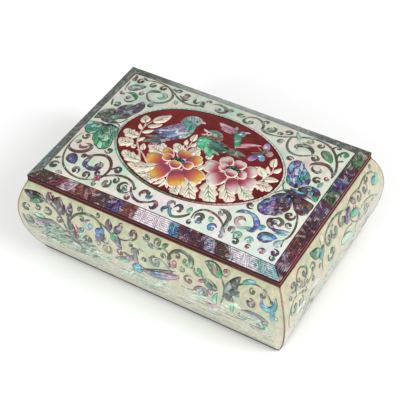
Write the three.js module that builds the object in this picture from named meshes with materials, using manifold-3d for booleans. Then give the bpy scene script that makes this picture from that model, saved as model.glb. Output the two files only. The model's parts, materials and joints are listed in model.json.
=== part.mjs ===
// Card case: a bow-sided wooden box, veneered with mother-of-pearl, whose domed lid hangs on two
// brass hinges. Millimetres, +Z up, +X along the long side, the front towards -Y. The origin is
// the middle of the underside. "Out" is a distance outwards from the lid's outline.
import * as THREE from "three";
import { mergeVertices } from "three/addons/utils/BufferGeometryUtils.js";
import Module from "manifold-3d";

const wasm = await Module();
wasm.setup();

// Lid outline, and the layers from the table up
const lidLength = 160;
const lidDepth = 107;
const feltThickness = 0.6;
const wallHeight = 56.5;
const rimThickness = 1.2;
const seamGap = 0.4;
const lidEdgeThickness = 2.8;

// Bow of the sides
const bellyHeight = 33.4; // above the walls' foot
const bellyOut = 6.6;
const wallTopOut = 0.3;
const footIn = 1.9;
const arcSteps = 7; // above the belly, and again below it

// Walls, veneer and linings
const wallThickness = 7;
const veneerThickness = 0.8;
const footLip = 0.6;
const cornerLineWidth = 0.8;
const cornerLineProud = 0.1;
const baseThickness = 3;
const feltInset = 1.2;
const liningThickness = 1.2;
const liningDrop = 0.3; // below the top of the rim
const glueGap = 0.2;
const mitreGap = 0.2;

// Lid: the bevelled border, the crowned field, the oval picture and the padded lining
const borderWidth = 6.8;
const bevelRise = 1.7;
const crownRise = 8.5;
const lidLip = 0.5;
const inlayThickness = 0.6;
const lidCell = 12;
const borderCell = 11;
const borderRows = 2;
const ovalHalfLength = 51.1;
const ovalHalfDepth = 34.5;
const ringWidth = 1.6;
const ovalSteps = 36; // each half
const liningMargin = 12;
const liningPocketDepth = 3;
const liningCornerRadius = 6;
const liningPuff = 0.9;
const liningPuffSteps = 3;
const liningCornerSteps = 4;

// Hinges
const hingeFromEnd = 32; // from the lid's end to the middle of a hinge
const hingeLength = 25;
const leafThickness = 0.8;
const leafDepth = 6.4; // inwards from the back of the lid
const leafEdgeGap = 0.3; // from a leaf's edge to the other leaf's knuckles
const mortiseGap = 0.15;
const barrelOut = 1.7; // from the back of the lid to the pin's centre
const barrelRadius = 1.2;
const knuckles = 5;
const knuckleGap = 0.3;
const pinRadius = 0.55;
const pinHeadRadius = 0.9;
const pinHeadLength = 0.7;
const turnGap = 0.12; // round the pin
const pinDrop = 0.3; // below the top of the rim, so that the lid hides the barrels from the front
const roundSteps = 10; // each half

// Screws
const screwHeadRadius = 1.35;
const screwHeadDepth = 0.65;
const screwRadius = 0.65;
const screwTipLength = 1.1;
const caseScrewLength = 6;
const lidScrewLength = 2.4;
const screwIn = 3.4; // inwards from the back of the lid
const screwFromLeafEnd = 5;
const screwGap = 0.12;
const screwSteps = 12;

const overrun = 1; // how far a cutter passes a face

// Places that follow from the sizes
const halfLength = lidLength / 2;
const halfDepth = lidDepth / 2;
const wallFoot = feltThickness;
const bellyLevel = wallFoot + bellyHeight;
const wallTop = wallFoot + wallHeight;
const rimTop = wallTop + rimThickness;
const lidBottom = rimTop + seamGap;
const lidEdgeTop = lidBottom + lidEdgeThickness;
const floorTop = wallFoot + baseThickness + liningThickness;
const pinLevel = rimTop - pinDrop;
const pinBack = halfDepth + barrelOut;

const sides = [
  { name: "front", turn: 0, reach: halfDepth, halfRun: halfLength },
  { name: "right", turn: Math.PI / 2, reach: halfLength, halfRun: halfDepth },
  { name: "back", turn: Math.PI, reach: halfDepth, halfRun: halfLength },
  { name: "left", turn: -Math.PI / 2, reach: halfLength, halfRun: halfDepth },
];
const corners = [
  { name: "front_right", x: 1, y: -1 },
  { name: "back_right", x: 1, y: 1 },
  { name: "back_left", x: -1, y: 1 },
  { name: "front_left", x: -1, y: -1 },
];
const hinges = [
  { name: "left_hinge", middle: hingeFromEnd - halfLength },
  { name: "right_hinge", middle: halfLength - hingeFromEnd },
];

const finishes = {
  lacquer: { color: 0x3a0d12, roughness: 0.25, metalness: 0 },
  rim: { color: 0x5b2a1c, roughness: 0.3, metalness: 0 },
  lidPearl: { color: 0xe2e4d0, roughness: 0.3, metalness: 0 },
  sidePearl: { color: 0xcfcda8, roughness: 0.35, metalness: 0 },
  abalone: { color: 0x4a2f4c, roughness: 0.25, metalness: 0.1 },
  ring: { color: 0x6f8a7c, roughness: 0.25, metalness: 0.1 },
  medallion: { color: 0x7d1419, roughness: 0.2, metalness: 0 },
  velvet: { color: 0x5a1020, roughness: 0.95, metalness: 0 },
  felt: { color: 0x23201e, roughness: 1, metalness: 0 },
  brass: { color: 0xb8903f, roughness: 0.35, metalness: 1 },
};

function piece(name, finish, geometry) {
  const mesh = new THREE.Mesh(geometry, new THREE.MeshStandardMaterial(finishes[finish]));
  mesh.name = name;
  return mesh;
}

// Turns a closed geometry the right way out, judged by the volume that its faces enclose
function facingOut(geometry) {
  const [a, b, c] = [new THREE.Vector3(), new THREE.Vector3(), new THREE.Vector3()];
  const place = geometry.getAttribute("position");
  const index = geometry.getIndex();
  let volume = 0;
  for (let i = 0; i < index.count; i += 3) {
    a.fromBufferAttribute(place, index.getX(i));
    b.fromBufferAttribute(place, index.getX(i + 1));
    c.fromBufferAttribute(place, index.getX(i + 2));
    volume += a.dot(b.cross(c));
  }
  if (volume < 0) index.array.reverse();
  geometry.computeVertexNormals();
  return geometry;
}

function fromPoints(points, faces) {
  const geometry = new THREE.BufferGeometry();
  geometry.setAttribute("position", new THREE.Float32BufferAttribute(points.flat(), 3));
  geometry.setIndex(faces.flat());
  return facingOut(geometry);
}

function toSolid(geometry) {
  const plain = geometry.clone();
  plain.deleteAttribute("normal");
  plain.deleteAttribute("uv");
  const merged = mergeVertices(plain);
  const order = merged.getIndex().array;
  const faces = [];
  for (let i = 0; i < order.length; i += 3) {
    const [a, b, c] = order.slice(i, i + 3);
    if (a !== b && b !== c && c !== a) faces.push(a, b, c);
  }
  return new wasm.Manifold(new wasm.Mesh({
    numProp: 3,
    vertProperties: new Float32Array(merged.getAttribute("position").array),
    triVerts: new Uint32Array(faces),
  }));
}

function toGeometry(solid) {
  const mesh = solid.getMesh();
  const geometry = new THREE.BufferGeometry();
  geometry.setAttribute("position", new THREE.BufferAttribute(mesh.vertProperties, 3));
  geometry.setIndex(new THREE.BufferAttribute(mesh.triVerts, 1));
  geometry.computeVertexNormals();
  return geometry;
}

function cut(geometry, cutters) {
  return toGeometry(cutters.reduce((rest, cutter) => rest.subtract(toSolid(cutter)), toSolid(geometry)));
}

function common(geometry, other) {
  return toGeometry(toSolid(geometry).intersect(toSolid(other)));
}

function joined(geometries) {
  return toGeometry(geometries.map(toSolid).reduce((all, next) => all.add(next)));
}

function block(low, high) {
  const size = high.map((value, axis) => value - low[axis]);
  const middle = high.map((value, axis) => (value + low[axis]) / 2);
  return new THREE.BoxGeometry(...size).translate(...middle);
}

// How far a side stands out at a height: one parabola above the belly and one below it
function sideOut(height) {
  if (height > bellyLevel) {
    const share = (height - bellyLevel) / (wallTop - bellyLevel);
    return bellyOut - (bellyOut - wallTopOut) * share ** 2;
  }
  const share = (bellyLevel - height) / (bellyLevel - wallFoot);
  return bellyOut - (bellyOut + footIn) * share ** 2;
}

function bowHeights(low) {
  const below = Array.from({ length: arcSteps }, (_, i) => low + (bellyLevel - low) * (i / arcSteps));
  const above = Array.from({ length: arcSteps + 1 }, (_, i) => (
    bellyLevel + (wallTop - bellyLevel) * (i / arcSteps)));
  return [...below, ...above];
}

// The bowed line from a low height to the wall's top, as [out, height] points, set in by a depth
function bow(low, depth) {
  return bowHeights(low).map((height) => [sideOut(height) - depth, height]);
}

// A bar of the given section, [out, height] points, along one side, with both ends mitred
function mitredBar(section, side, endGap) {
  const outline = section.map(([out, height]) => new THREE.Vector2(out, height));
  const ring = THREE.ShapeUtils.isClockWise(outline) ? outline.reverse() : outline;
  const count = ring.length;
  const end = (sign) => ring.map(({ x: out, y: height }) => (
    [sign * (side.halfRun + out - endGap), -(side.reach + out), height]));
  const caps = THREE.ShapeUtils.triangulateShape(ring, []);
  const faces = caps.flatMap(([a, b, c]) => [[a, b, c], [count + c, count + b, count + a]]);
  for (let i = 0; i < count; i += 1) {
    const next = (i + 1) % count;
    faces.push([i, count + i, count + next], [i, count + next, next]);
  }
  return fromPoints([...end(-1), ...end(1)], faces).rotateZ(side.turn);
}

// A wooden wall: bowed outside, flat inside, with a lip at its foot under the veneer
function wall(side) {
  const section = [
    [-wallThickness, wallFoot],
    [sideOut(wallFoot), wallFoot],
    [sideOut(wallFoot + footLip), wallFoot + footLip],
    ...bow(wallFoot + footLip, veneerThickness + glueGap),
    [-wallThickness, wallTop],
  ];
  const shape = mitredBar(section, side, mitreGap);
  if (side.name !== "back") return shape;
  return cut(shape, allCaseScrews((place) => screwHole(place, caseScrewLength)));
}

function sideVeneer(side) {
  const low = wallFoot + footLip + glueGap;
  return mitredBar([...bow(low, 0), ...bow(low, veneerThickness).reverse()], side,
    cornerLineWidth + mitreGap);
}

function rim(side) {
  const shape = mitredBar([
    [-wallThickness, wallTop],
    [wallTopOut, wallTop],
    [wallTopOut, rimTop],
    [-wallThickness, rimTop],
  ], side, mitreGap);
  if (side.name !== "back") return shape;
  const mortises = hinges.map(({ middle }) => (
    leafSpace(middle, mortiseGap, rimTop - leafThickness, rimTop + overrun, pinBack)));
  return cut(shape, [...mortises, ...allCaseScrews((place) => screwHole(place, caseScrewLength))]);
}

function wallLining(side) {
  const outer = -(wallThickness + glueGap);
  const inner = outer - liningThickness;
  const top = rimTop - liningDrop;
  return mitredBar([[inner, floorTop], [outer, floorTop], [outer, top], [inner, top]], side, mitreGap);
}

// The lacquered line down a corner: a slim square bar that follows the bow along the mitre
function cornerLine(corner) {
  const heights = bowHeights(wallFoot + footLip + glueGap);
  const points = heights.flatMap((height) => {
    const face = sideOut(height);
    const [tip, root] = [face + cornerLineProud, face - cornerLineWidth];
    return [[tip, tip], [root, face], [root, root], [face, root]].map(([outX, outY]) => (
      [corner.x * (halfLength + outX), corner.y * (halfDepth + outY), height]));
  });
  const around = points.length / heights.length;
  const last = points.length - around;
  const faces = [];
  for (let k = 1; k < around - 1; k += 1) {
    faces.push([0, k + 1, k], [last, last + k, last + k + 1]);
  }
  for (let row = 0; row < last; row += around) {
    for (let k = 0; k < around; k += 1) {
      const [low, next] = [row + k, row + ((k + 1) % around)];
      faces.push([low, next, next + around], [low, next + around, low + around]);
    }
  }
  return fromPoints(points, faces);
}

// A flat plate that fills the inside of the case between two heights
function innerPlate(low, high) {
  const [x, y] = [halfLength, halfDepth].map((half) => half - wallThickness - glueGap);
  return block([-x, -y, low], [x, y, high]);
}

function baseFelt() {
  const [x, y] = [halfLength, halfDepth].map((half) => half - footIn - feltInset);
  return block([-x, -y, 0], [x, y, feltThickness]);
}

// Height of the lid's face: a bevelled border round a crowned middle
function faceLevel(x, y) {
  const inset = Math.min(halfLength - Math.abs(x), halfDepth - Math.abs(y));
  const bevel = bevelRise * Math.min(1, inset / borderWidth);
  const crown = crownRise * (1 - (x / halfLength) ** 2) * (1 - (y / halfDepth) ** 2);
  return lidEdgeTop + bevel + crown;
}

function inlayFloor(x, y) {
  return faceLevel(x, y) - inlayThickness;
}

// A closed slab over a net of [x, y] points, each cell folded along the diagonal that fits best
function slab(net, topOf, bottomOf) {
  const [rows, columns, flat] = [net.length, net[0].length, net.flat()];
  const under = flat.length;
  const points = [topOf, bottomOf].flatMap((level) => flat.map(([x, y]) => [x, y, level(x, y)]));
  const miss = (from, to) => {
    const [middleX, middleY] = [0, 1].map((axis) => (flat[from][axis] + flat[to][axis]) / 2);
    return Math.abs((points[from][2] + points[to][2]) / 2 - topOf(middleX, middleY));
  };
  const faces = [];
  for (let r = 0; r < rows - 1; r += 1) {
    for (let c = 0; c < columns - 1; c += 1) {
      const a = r * columns + c;
      const [b, d, e] = [a + 1, a + columns, a + columns + 1];
      const pair = miss(a, e) < miss(b, d) ? [[a, b, e], [a, e, d]] : [[a, b, d], [b, e, d]];
      pair.forEach(([p, q, s]) => faces.push([p, q, s], [under + s, under + q, under + p]));
    }
  }
  const loop = [];
  for (let c = 0; c < columns - 1; c += 1) loop.push(c);
  for (let r = 0; r < rows - 1; r += 1) loop.push(r * columns + columns - 1);
  for (let c = columns - 1; c > 0; c -= 1) loop.push((rows - 1) * columns + c);
  for (let r = rows - 1; r > 0; r -= 1) loop.push(r * columns);
  loop.forEach((from, i) => {
    const to = loop[(i + 1) % loop.length];
    faces.push([from, under + from, under + to], [from, under + to, to]);
  });
  return fromPoints(points, faces);
}

function evenCuts(low, high, cell) {
  const steps = Math.ceil((high - low) / cell);
  return Array.from({ length: steps + 1 }, (_, i) => low + (high - low) * (i / steps));
}

// The lid's net: its edge, unless it starts inside the lip, the lip and the border's inner line,
// then even cells
function boardNet(insideLip) {
  const cuts = (half) => {
    const outer = insideLip ? [half - lidLip] : [half, half - lidLip];
    const inner = half - borderWidth;
    return [...outer.map((value) => -value), ...evenCuts(-inner, inner, lidCell), ...outer.reverse()];
  };
  return cuts(halfDepth).map((y) => cuts(halfLength).map((x) => [x, y]));
}

// The whole crowned field inside the border, before the oval is cut
function fieldSlab() {
  const [x, y] = [halfLength, halfDepth].map((half) => half - borderWidth - glueGap);
  const columns = evenCuts(-x, x, lidCell);
  const net = evenCuts(-y, y, lidCell).map((across) => columns.map((along) => [along, across]));
  return slab(net, faceLevel, inlayFloor);
}

function ovalPrism(grow) {
  const outline = new THREE.Shape();
  outline.absellipse(0, 0, ovalHalfLength + grow, ovalHalfDepth + grow, 0, 2 * Math.PI);
  const depth = lidEdgeThickness + bevelRise + crownRise + overrun;
  return new THREE.ExtrudeGeometry(outline, { depth, bevelEnabled: false, curveSegments: ovalSteps })
    .translate(0, 0, lidBottom);
}

function liningOutline(gap) {
  const [x, y] = [halfLength, halfDepth].map((half) => half - liningMargin - gap);
  const radius = liningCornerRadius - gap;
  const quarter = Math.PI / 2;
  const outline = new THREE.Shape();
  [[1, 1], [-1, 1], [-1, -1], [1, -1]].forEach(([signX, signY], i) => {
    outline.absarc(signX * (x - radius), signY * (y - radius), radius, i * quarter, (i + 1) * quarter);
  });
  return outline;
}

// The lid's board: hollowed for the inlays inside its lip, with a pocket below for the lining
function lidBoard() {
  const hollow = slab(boardNet(true), (x, y) => faceLevel(x, y) + overrun,
    (x, y) => inlayFloor(x, y) - glueGap);
  const pocket = new THREE.ExtrudeGeometry(liningOutline(0), {
    depth: liningPocketDepth + overrun, bevelEnabled: false, curveSegments: liningCornerSteps,
  }).translate(0, 0, lidBottom - overrun);
  const mortises = hinges.map(({ middle }) => (
    leafSpace(middle, mortiseGap, lidBottom - overrun, lidBottom + leafThickness, pinBack)));
  return cut(slab(boardNet(false), faceLevel, () => lidBottom), [
    hollow, pocket, ...mortises, ...allLidScrews((place) => screwHole(place, lidScrewLength)),
  ]);
}

// One side of the border: a mitred strip lying on the bevel
function border(side) {
  const outer = lidLip + glueGap;
  const middle = new THREE.Vector2();
  const steps = Math.ceil((2 * side.halfRun) / borderCell);
  const net = evenCuts(outer, borderWidth, (borderWidth - outer) / borderRows).map((inset) => {
    const half = side.halfRun - inset - mitreGap;
    return evenCuts(-half, half, (2 * half) / steps).map((along) => {
      const place = new THREE.Vector2(along, inset - side.reach).rotateAround(middle, side.turn);
      return [place.x, place.y];
    });
  });
  return slab(net, faceLevel, inlayFloor);
}

function lidVeneer() {
  return cut(fieldSlab(), [ovalPrism(glueGap)]);
}

function medallionRing() {
  return cut(common(fieldSlab(), ovalPrism(0)), [ovalPrism(-ringWidth)]);
}

function medallionGround() {
  return common(fieldSlab(), ovalPrism(-(ringWidth + glueGap)));
}

// The lid's padded lining, which puffs down towards the box
function lidLining() {
  const top = lidBottom + liningPocketDepth;
  const pad = new THREE.ExtrudeGeometry(liningOutline(glueGap + liningPuff), {
    depth: liningPocketDepth - seamGap - liningPuff,
    bevelThickness: liningPuff,
    bevelSize: liningPuff,
    bevelSegments: liningPuffSteps,
    curveSegments: liningCornerSteps,
  }).translate(0, 0, lidBottom + seamGap + liningPuff);
  const high = top + liningPuff + overrun;
  const above = block([-halfLength, -halfDepth, top], [halfLength, halfDepth, high]);
  return cut(pad, [above]);
}

// The space of a hinge leaf, with a gap round it
function leafSpace(middle, gap, low, high, back) {
  const half = hingeLength / 2 + gap;
  return block([middle - half, halfDepth - leafDepth - gap, low], [middle + half, back, high]);
}

// Screw places: those of the case point down from the rim, and those of the lid point up
function screwPlaces({ middle }, up) {
  const reach = hingeLength / 2 - screwFromLeafEnd;
  return [middle - reach, middle + reach].map((x) => (
    { x, y: halfDepth - screwIn, level: up ? lidBottom : rimTop, up }));
}

function allCaseScrews(make) {
  return hinges.flatMap((hinge) => screwPlaces(hinge, false)).map(make);
}

function allLidScrews(make) {
  return hinges.flatMap((hinge) => screwPlaces(hinge, true)).map(make);
}

// A round shape about Z from [radius, height] points, with height zero at the screw's face
function screwTurned(profile, place) {
  const outline = profile.map(([radius, height]) => new THREE.Vector2(radius, height));
  return new THREE.LatheGeometry(outline, screwSteps)
    .rotateX(place.up ? -Math.PI / 2 : Math.PI / 2)
    .translate(place.x, place.y, place.level);
}

function screw(place, length) {
  return screwTurned([
    [0, -length],
    [screwRadius, screwTipLength - length],
    [screwRadius, -screwHeadDepth],
    [screwHeadRadius, 0],
    [0, 0],
  ], place);
}

function screwHole(place, length) {
  const end = -(length + screwGap);
  return screwTurned([
    [0, end],
    [screwRadius + screwGap, end],
    [screwRadius + screwGap, -screwHeadDepth],
    [screwHeadRadius + screwGap, 0],
    [screwHeadRadius + screwGap, seamGap],
    [0, seamGap],
  ], place);
}

// A round bar along the barrel's line, between two places along X
function barrelBar(radius, from, to) {
  return new THREE.CylinderGeometry(radius, radius, to - from, 2 * roundSteps)
    .rotateZ(Math.PI / 2)
    .translate((from + to) / 2, pinBack, pinLevel);
}

// Knuckles take turns along the barrel: the case's leaf has the outermost ones
function knuckleSpans(middle, up) {
  const pitch = hingeLength / knuckles;
  const spans = [];
  for (let i = up ? 1 : 0; i < knuckles; i += 2) {
    const start = middle - hingeLength / 2 + i * pitch;
    spans.push([start + knuckleGap / 2, start + pitch - knuckleGap / 2]);
  }
  return spans;
}

function leaf(hinge, up) {
  const low = up ? lidBottom : rimTop - leafThickness;
  const high = low + leafThickness;
  const back = pinBack - barrelRadius - leafEdgeGap;
  const spans = knuckleSpans(hinge.middle, up);
  const plate = leafSpace(hinge.middle, 0, low, high, back);
  const tongues = spans.map(([from, to]) => (
    block([from, back - leafThickness, low], [to, pinBack, high])));
  const barrels = spans.map(([from, to]) => barrelBar(barrelRadius, from, to));
  const bore = barrelBar(pinRadius + turnGap, hinge.middle - hingeLength, hinge.middle + hingeLength);
  const length = up ? lidScrewLength : caseScrewLength;
  const sinks = screwPlaces(hinge, up).map((place) => screwHole(place, length));
  return cut(joined([plate, ...tongues, ...barrels]), [bore, ...sinks]);
}

// A pin with a domed head past each end of the barrel
function hingePin({ middle }) {
  const half = hingeLength / 2 + turnGap;
  const neck = half + pinHeadLength / 2;
  const tip = half + pinHeadLength;
  const profile = [
    [0, -tip], [pinRadius, -tip], [pinHeadRadius, -neck], [pinHeadRadius, -half], [pinRadius, -half],
    [pinRadius, half], [pinHeadRadius, half], [pinHeadRadius, neck], [pinRadius, tip], [0, tip],
  ].map(([radius, along]) => new THREE.Vector2(radius, along));
  return new THREE.LatheGeometry(profile, 2 * roundSteps)
    .rotateZ(-Math.PI / 2)
    .translate(middle, pinBack, pinLevel);
}

function screws(hinge, up) {
  const length = up ? lidScrewLength : caseScrewLength;
  const part = up ? "lid" : "case";
  return screwPlaces(hinge, up).map((place, i) => (
    piece(`${hinge.name}_${part}_screw_${i + 1}`, "brass", screw(place, length))));
}

// The lid is a group of its own, as the piece that opens
const cardCase = new THREE.Group();
const lid = new THREE.Group();
cardCase.add(lid);

cardCase.add(
  piece("base_felt", "felt", baseFelt()),
  piece("base_board", "lacquer", innerPlate(wallFoot, wallFoot + baseThickness)),
  piece("floor_lining", "velvet", innerPlate(wallFoot + baseThickness, floorTop)),
);
for (const side of sides) {
  cardCase.add(
    piece(`${side.name}_wall`, "lacquer", wall(side)),
    piece(`${side.name}_veneer`, "sidePearl", sideVeneer(side)),
    piece(`${side.name}_rim`, "rim", rim(side)),
    piece(`${side.name}_lining`, "velvet", wallLining(side)),
  );
  lid.add(piece(`${side.name}_border`, "abalone", border(side)));
}
for (const corner of corners) {
  cardCase.add(piece(`${corner.name}_corner_line`, "lacquer", cornerLine(corner)));
}
lid.add(
  piece("lid_board", "lacquer", lidBoard()),
  piece("lid_veneer", "lidPearl", lidVeneer()),
  piece("medallion_ring", "ring", medallionRing()),
  piece("medallion_ground", "medallion", medallionGround()),
  piece("lid_lining", "velvet", lidLining()),
);
for (const hinge of hinges) {
  cardCase.add(
    piece(`${hinge.name}_case_leaf`, "brass", leaf(hinge, false)),
    piece(`${hinge.name}_pin`, "brass", hingePin(hinge)),
    ...screws(hinge, false),
  );
  lid.add(piece(`${hinge.name}_lid_leaf`, "brass", leaf(hinge, true)), ...screws(hinge, true));
}

export default cardCase;
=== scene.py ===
import json
import math
import random

import bmesh
import bpy
import numpy as np
from mathutils import Matrix, Vector


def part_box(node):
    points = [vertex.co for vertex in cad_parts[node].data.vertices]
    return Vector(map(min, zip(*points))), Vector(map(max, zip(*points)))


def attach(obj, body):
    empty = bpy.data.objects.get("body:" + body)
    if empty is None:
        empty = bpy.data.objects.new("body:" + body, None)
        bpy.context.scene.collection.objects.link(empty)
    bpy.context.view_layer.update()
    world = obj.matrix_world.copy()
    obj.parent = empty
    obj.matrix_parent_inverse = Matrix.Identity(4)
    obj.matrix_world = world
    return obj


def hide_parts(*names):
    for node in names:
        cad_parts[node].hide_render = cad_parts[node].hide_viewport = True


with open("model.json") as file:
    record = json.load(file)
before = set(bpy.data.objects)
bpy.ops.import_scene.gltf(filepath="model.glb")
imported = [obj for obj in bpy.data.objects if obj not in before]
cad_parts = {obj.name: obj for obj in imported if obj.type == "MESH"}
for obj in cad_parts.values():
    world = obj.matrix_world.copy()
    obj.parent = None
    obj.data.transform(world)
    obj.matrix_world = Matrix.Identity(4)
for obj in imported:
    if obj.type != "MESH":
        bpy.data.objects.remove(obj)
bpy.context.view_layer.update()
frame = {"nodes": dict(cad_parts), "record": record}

# The card case in its finish: pearl shell veneers with inlaid plates of abalone, burgundy and
# maroon lacquer, velvet linings and brass hinges. Places are in metres, but what is drawn on a
# face, such as a scroll or a petal, is drawn in millimetres and then laid on that face.
MM = 0.001
FULL_TURN = 2 * math.pi
# A length too small to see, and the one within which a place counts as level
SMALL = 1e-9
LEVEL = 1e-7

# Sizes of the case: half its length and depth, and the levels of its parts
HALF_LENGTH, HALF_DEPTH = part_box("lid_board")[1].xy
WALL_FOOT, WALL_TOP = (corner.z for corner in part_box("front_wall"))
VENEER_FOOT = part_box("front_veneer")[0].z
LID_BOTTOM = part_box("lid_board")[0].z
EDGE_TOP = LID_BOTTOM + 2.8 * MM
# The bow of the sides: how far they stand out at the belly and at the top, and in at the foot
BELLY_LEVEL = WALL_FOOT + 33.4 * MM
BELLY_OUT = -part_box("front_veneer")[0].y - HALF_DEPTH
WALL_TOP_OUT = 0.3 * MM
FOOT_IN = 1.9 * MM
# The lid: its bevelled border, the crown of its middle, the lip outside the border and the oval picture
BORDER_WIDTH = 6.8 * MM
BEVEL_RISE = 1.7 * MM
CROWN_RISE = 8.5 * MM
LID_LIP = 0.5 * MM
OVAL_LENGTH, OVAL_DEPTH = 51.1 * MM, 34.5 * MM
RING_WIDTH = 1.6 * MM
# Thicknesses, and the gap left between sheets
GLUE_GAP = 0.2 * MM
VENEER = 0.8 * MM
INLAY = 0.6 * MM
# The lines down the corners, and the dark line along the foot, partly the walls' dark foot and partly
# painted shade under the sides' bulge
CORNER_LINE, CORNER_PROUD = 0.4 * MM, 0.1 * MM
FOOT_LINE_HEIGHT, FOOT_LINE_PROUD, FOOT_LINE_DEPTH = 1.0 * MM, 0.45 * MM, 0.4 * MM
# Middle and reach of the greener shell behind the grass of the long sides, along and up
GRASS_PLACE = (-54 * MM, 27 * MM)
GRASS_SIZE = (29 * MM, 11 * MM)

# How fine the sheets are: points round each of the lid's, and rows from its inner to its outer edge
FIELD_POINTS, FIELD_ROWS = 288, 22
GROUND_POINTS, GROUND_ROWS = 192, 26
BAND_POINTS = 240
BORDER_ROWS = 81
SIDE_ROWS = 57
# The smallest ring of a sheet without a hole, as a share of its edge
CENTRE_SHARE = 0.004

# The signs of a corner's place along and across, in turn round the case
CORNERS = [(-1, -1), (1, -1), (1, 1), (-1, 1)]
# The sides: how far each is turned from the front, how far out it lies and half its length
SIDES = {
    "front": {"turn": 0.0, "reach": HALF_DEPTH, "run": HALF_LENGTH},
    "right": {"turn": math.pi / 2, "reach": HALF_LENGTH, "run": HALF_DEPTH},
    "back": {"turn": math.pi, "reach": HALF_DEPTH, "run": HALF_LENGTH},
    "left": {"turn": -math.pi / 2, "reach": HALF_LENGTH, "run": HALF_DEPTH},
}

# Inlaid plates, in millimetres: how proud the lowest lie, how deep all reach, the rise from one level
# to the next and a small step from one plate to the next, so that no two faces share a place
PLATE_PROUD = 0.05
PLATE_DEPTH = 0.15
PLATE_LEVEL = 0.035
PLATE_STEP = 0.003
# A curl: steps in a full turn, its own turns, and as shares of its radius, its inner radius and the
# half width of its tail
STEPS_IN_TURN = 26
CURL_TURNS = 0.8
CURL_INNER = 0.36
CURL_TAIL = 0.13
# Small curls that branch from a stem: how far apart, and their radius
SPRIG_SPACING = 6
SPRIG_RADIUS = 1.7
# The gap round a wing's cells, the least half width of a leaf with side veins, the spacing of small
# feathers, and how far the picture's plates keep from its edge
WING_GAP = 0.24
VEINED_HALF_WIDTH = 2.4
FEATHER_PITCH = 1.8
PICTURE_INSET = 2.0


def srgb(code):
    """Linear colour of a six-digit screen colour."""
    parts = [int(code[i : i + 2], 16) / 255 for i in (0, 2, 4)]
    return tuple(p / 12.92 if p < 0.04045 else ((p + 0.055) / 1.055) ** 2.4 for p in parts) + (1.0,)


TINTS = {
    name: srgb(code)
    for name, code in {
        "maroon": "5c2630", "rosewood": "7c4a46", "brown": "523a33", "bark": "4a3230", "moss": "37503f",
        "olive": "5f6a4e", "grey": "79827a", "slate": "4b4a5c", "plum": "573660", "violet": "6c4c9a",
        "indigo": "3b4a94", "sky": "55a3cf", "teal": "2b9a8c", "emerald": "2c9e68", "mint": "9fd8bd",
        "rose": "b4506a", "blush": "e8bfc4", "white": "f1ecf2", "pearl": "cfc8d6", "sand": "b9a877",
        "ember": "b04a26", "orange": "bd6c28", "gold": "cda23a", "magenta": "8c1f4c", "crimson": "a83029",
        "wine": "861c30", "jade": "3fbf86", "linen": "e9d3bd", "shell_pink": "d9aca6", "celadon": "d3dec6",
        "dove": "cdc2bd", "dusk": "bba29d", "wash": "a9b9a2", "lilac": "a58aa4", "mist": "b9c9dc",
        "steel": "6f9ca6", "orchid": "c79bc0", "ink": "12221f",
    }.items()
}
# The tint that a curl or stem turns to along its length
PARTNERS = {
    "maroon": "rosewood", "brown": "maroon", "moss": "olive", "olive": "moss", "grey": "olive",
    "slate": "plum", "plum": "slate", "indigo": "sky", "sky": "indigo", "teal": "moss", "emerald": "moss",
    "mint": "teal", "rose": "maroon", "sand": "olive",
}


def blended(names, shares):
    """Colours at shares from zero to one along a row of tints."""
    stops = np.array([TINTS[name] for name in names])
    places = np.linspace(0, 1, len(names))
    return np.stack([np.interp(np.ravel(shares), places, stops[:, k]) for k in range(4)], 1)


class Term:
    """A number in a node tree, so that a formula there reads like any other."""

    def __init__(self, tree, socket):
        self.tree = tree
        self.socket = socket

    def __add__(self, other):
        return self.tree.math("ADD", self, other)

    def __radd__(self, other):
        return self.tree.math("ADD", other, self)

    def __sub__(self, other):
        return self.tree.math("SUBTRACT", self, other)

    def __rsub__(self, other):
        return self.tree.math("SUBTRACT", other, self)

    def __mul__(self, other):
        return self.tree.math("MULTIPLY", self, other)

    def __rmul__(self, other):
        return self.tree.math("MULTIPLY", other, self)

    def __truediv__(self, other):
        return self.tree.math("DIVIDE", self, other)


class Tree:
    """A node tree, for a finish or for a shape."""

    def __init__(self, tree):
        self.tree = tree

    def add(self, kind, inputs=(), **settings):
        node = self.tree.nodes.new(kind)
        for name, value in settings.items():
            setattr(node, name, value)
        for key, value in dict(inputs).items():
            self.put(node.inputs[key], value)
        return node

    def put(self, socket, value):
        """Links a socket to another one, or gives it a plain value. A colour is given by its code."""
        value = value.socket if isinstance(value, Term) else value
        if isinstance(value, bpy.types.NodeSocket):
            self.tree.links.new(value, socket)
        else:
            socket.default_value = srgb(value) if isinstance(value, str) else value

    def math(self, operation, *values):
        node = self.add("ShaderNodeMath", enumerate(values), operation=operation)
        return Term(self, node.outputs[0])


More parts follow.
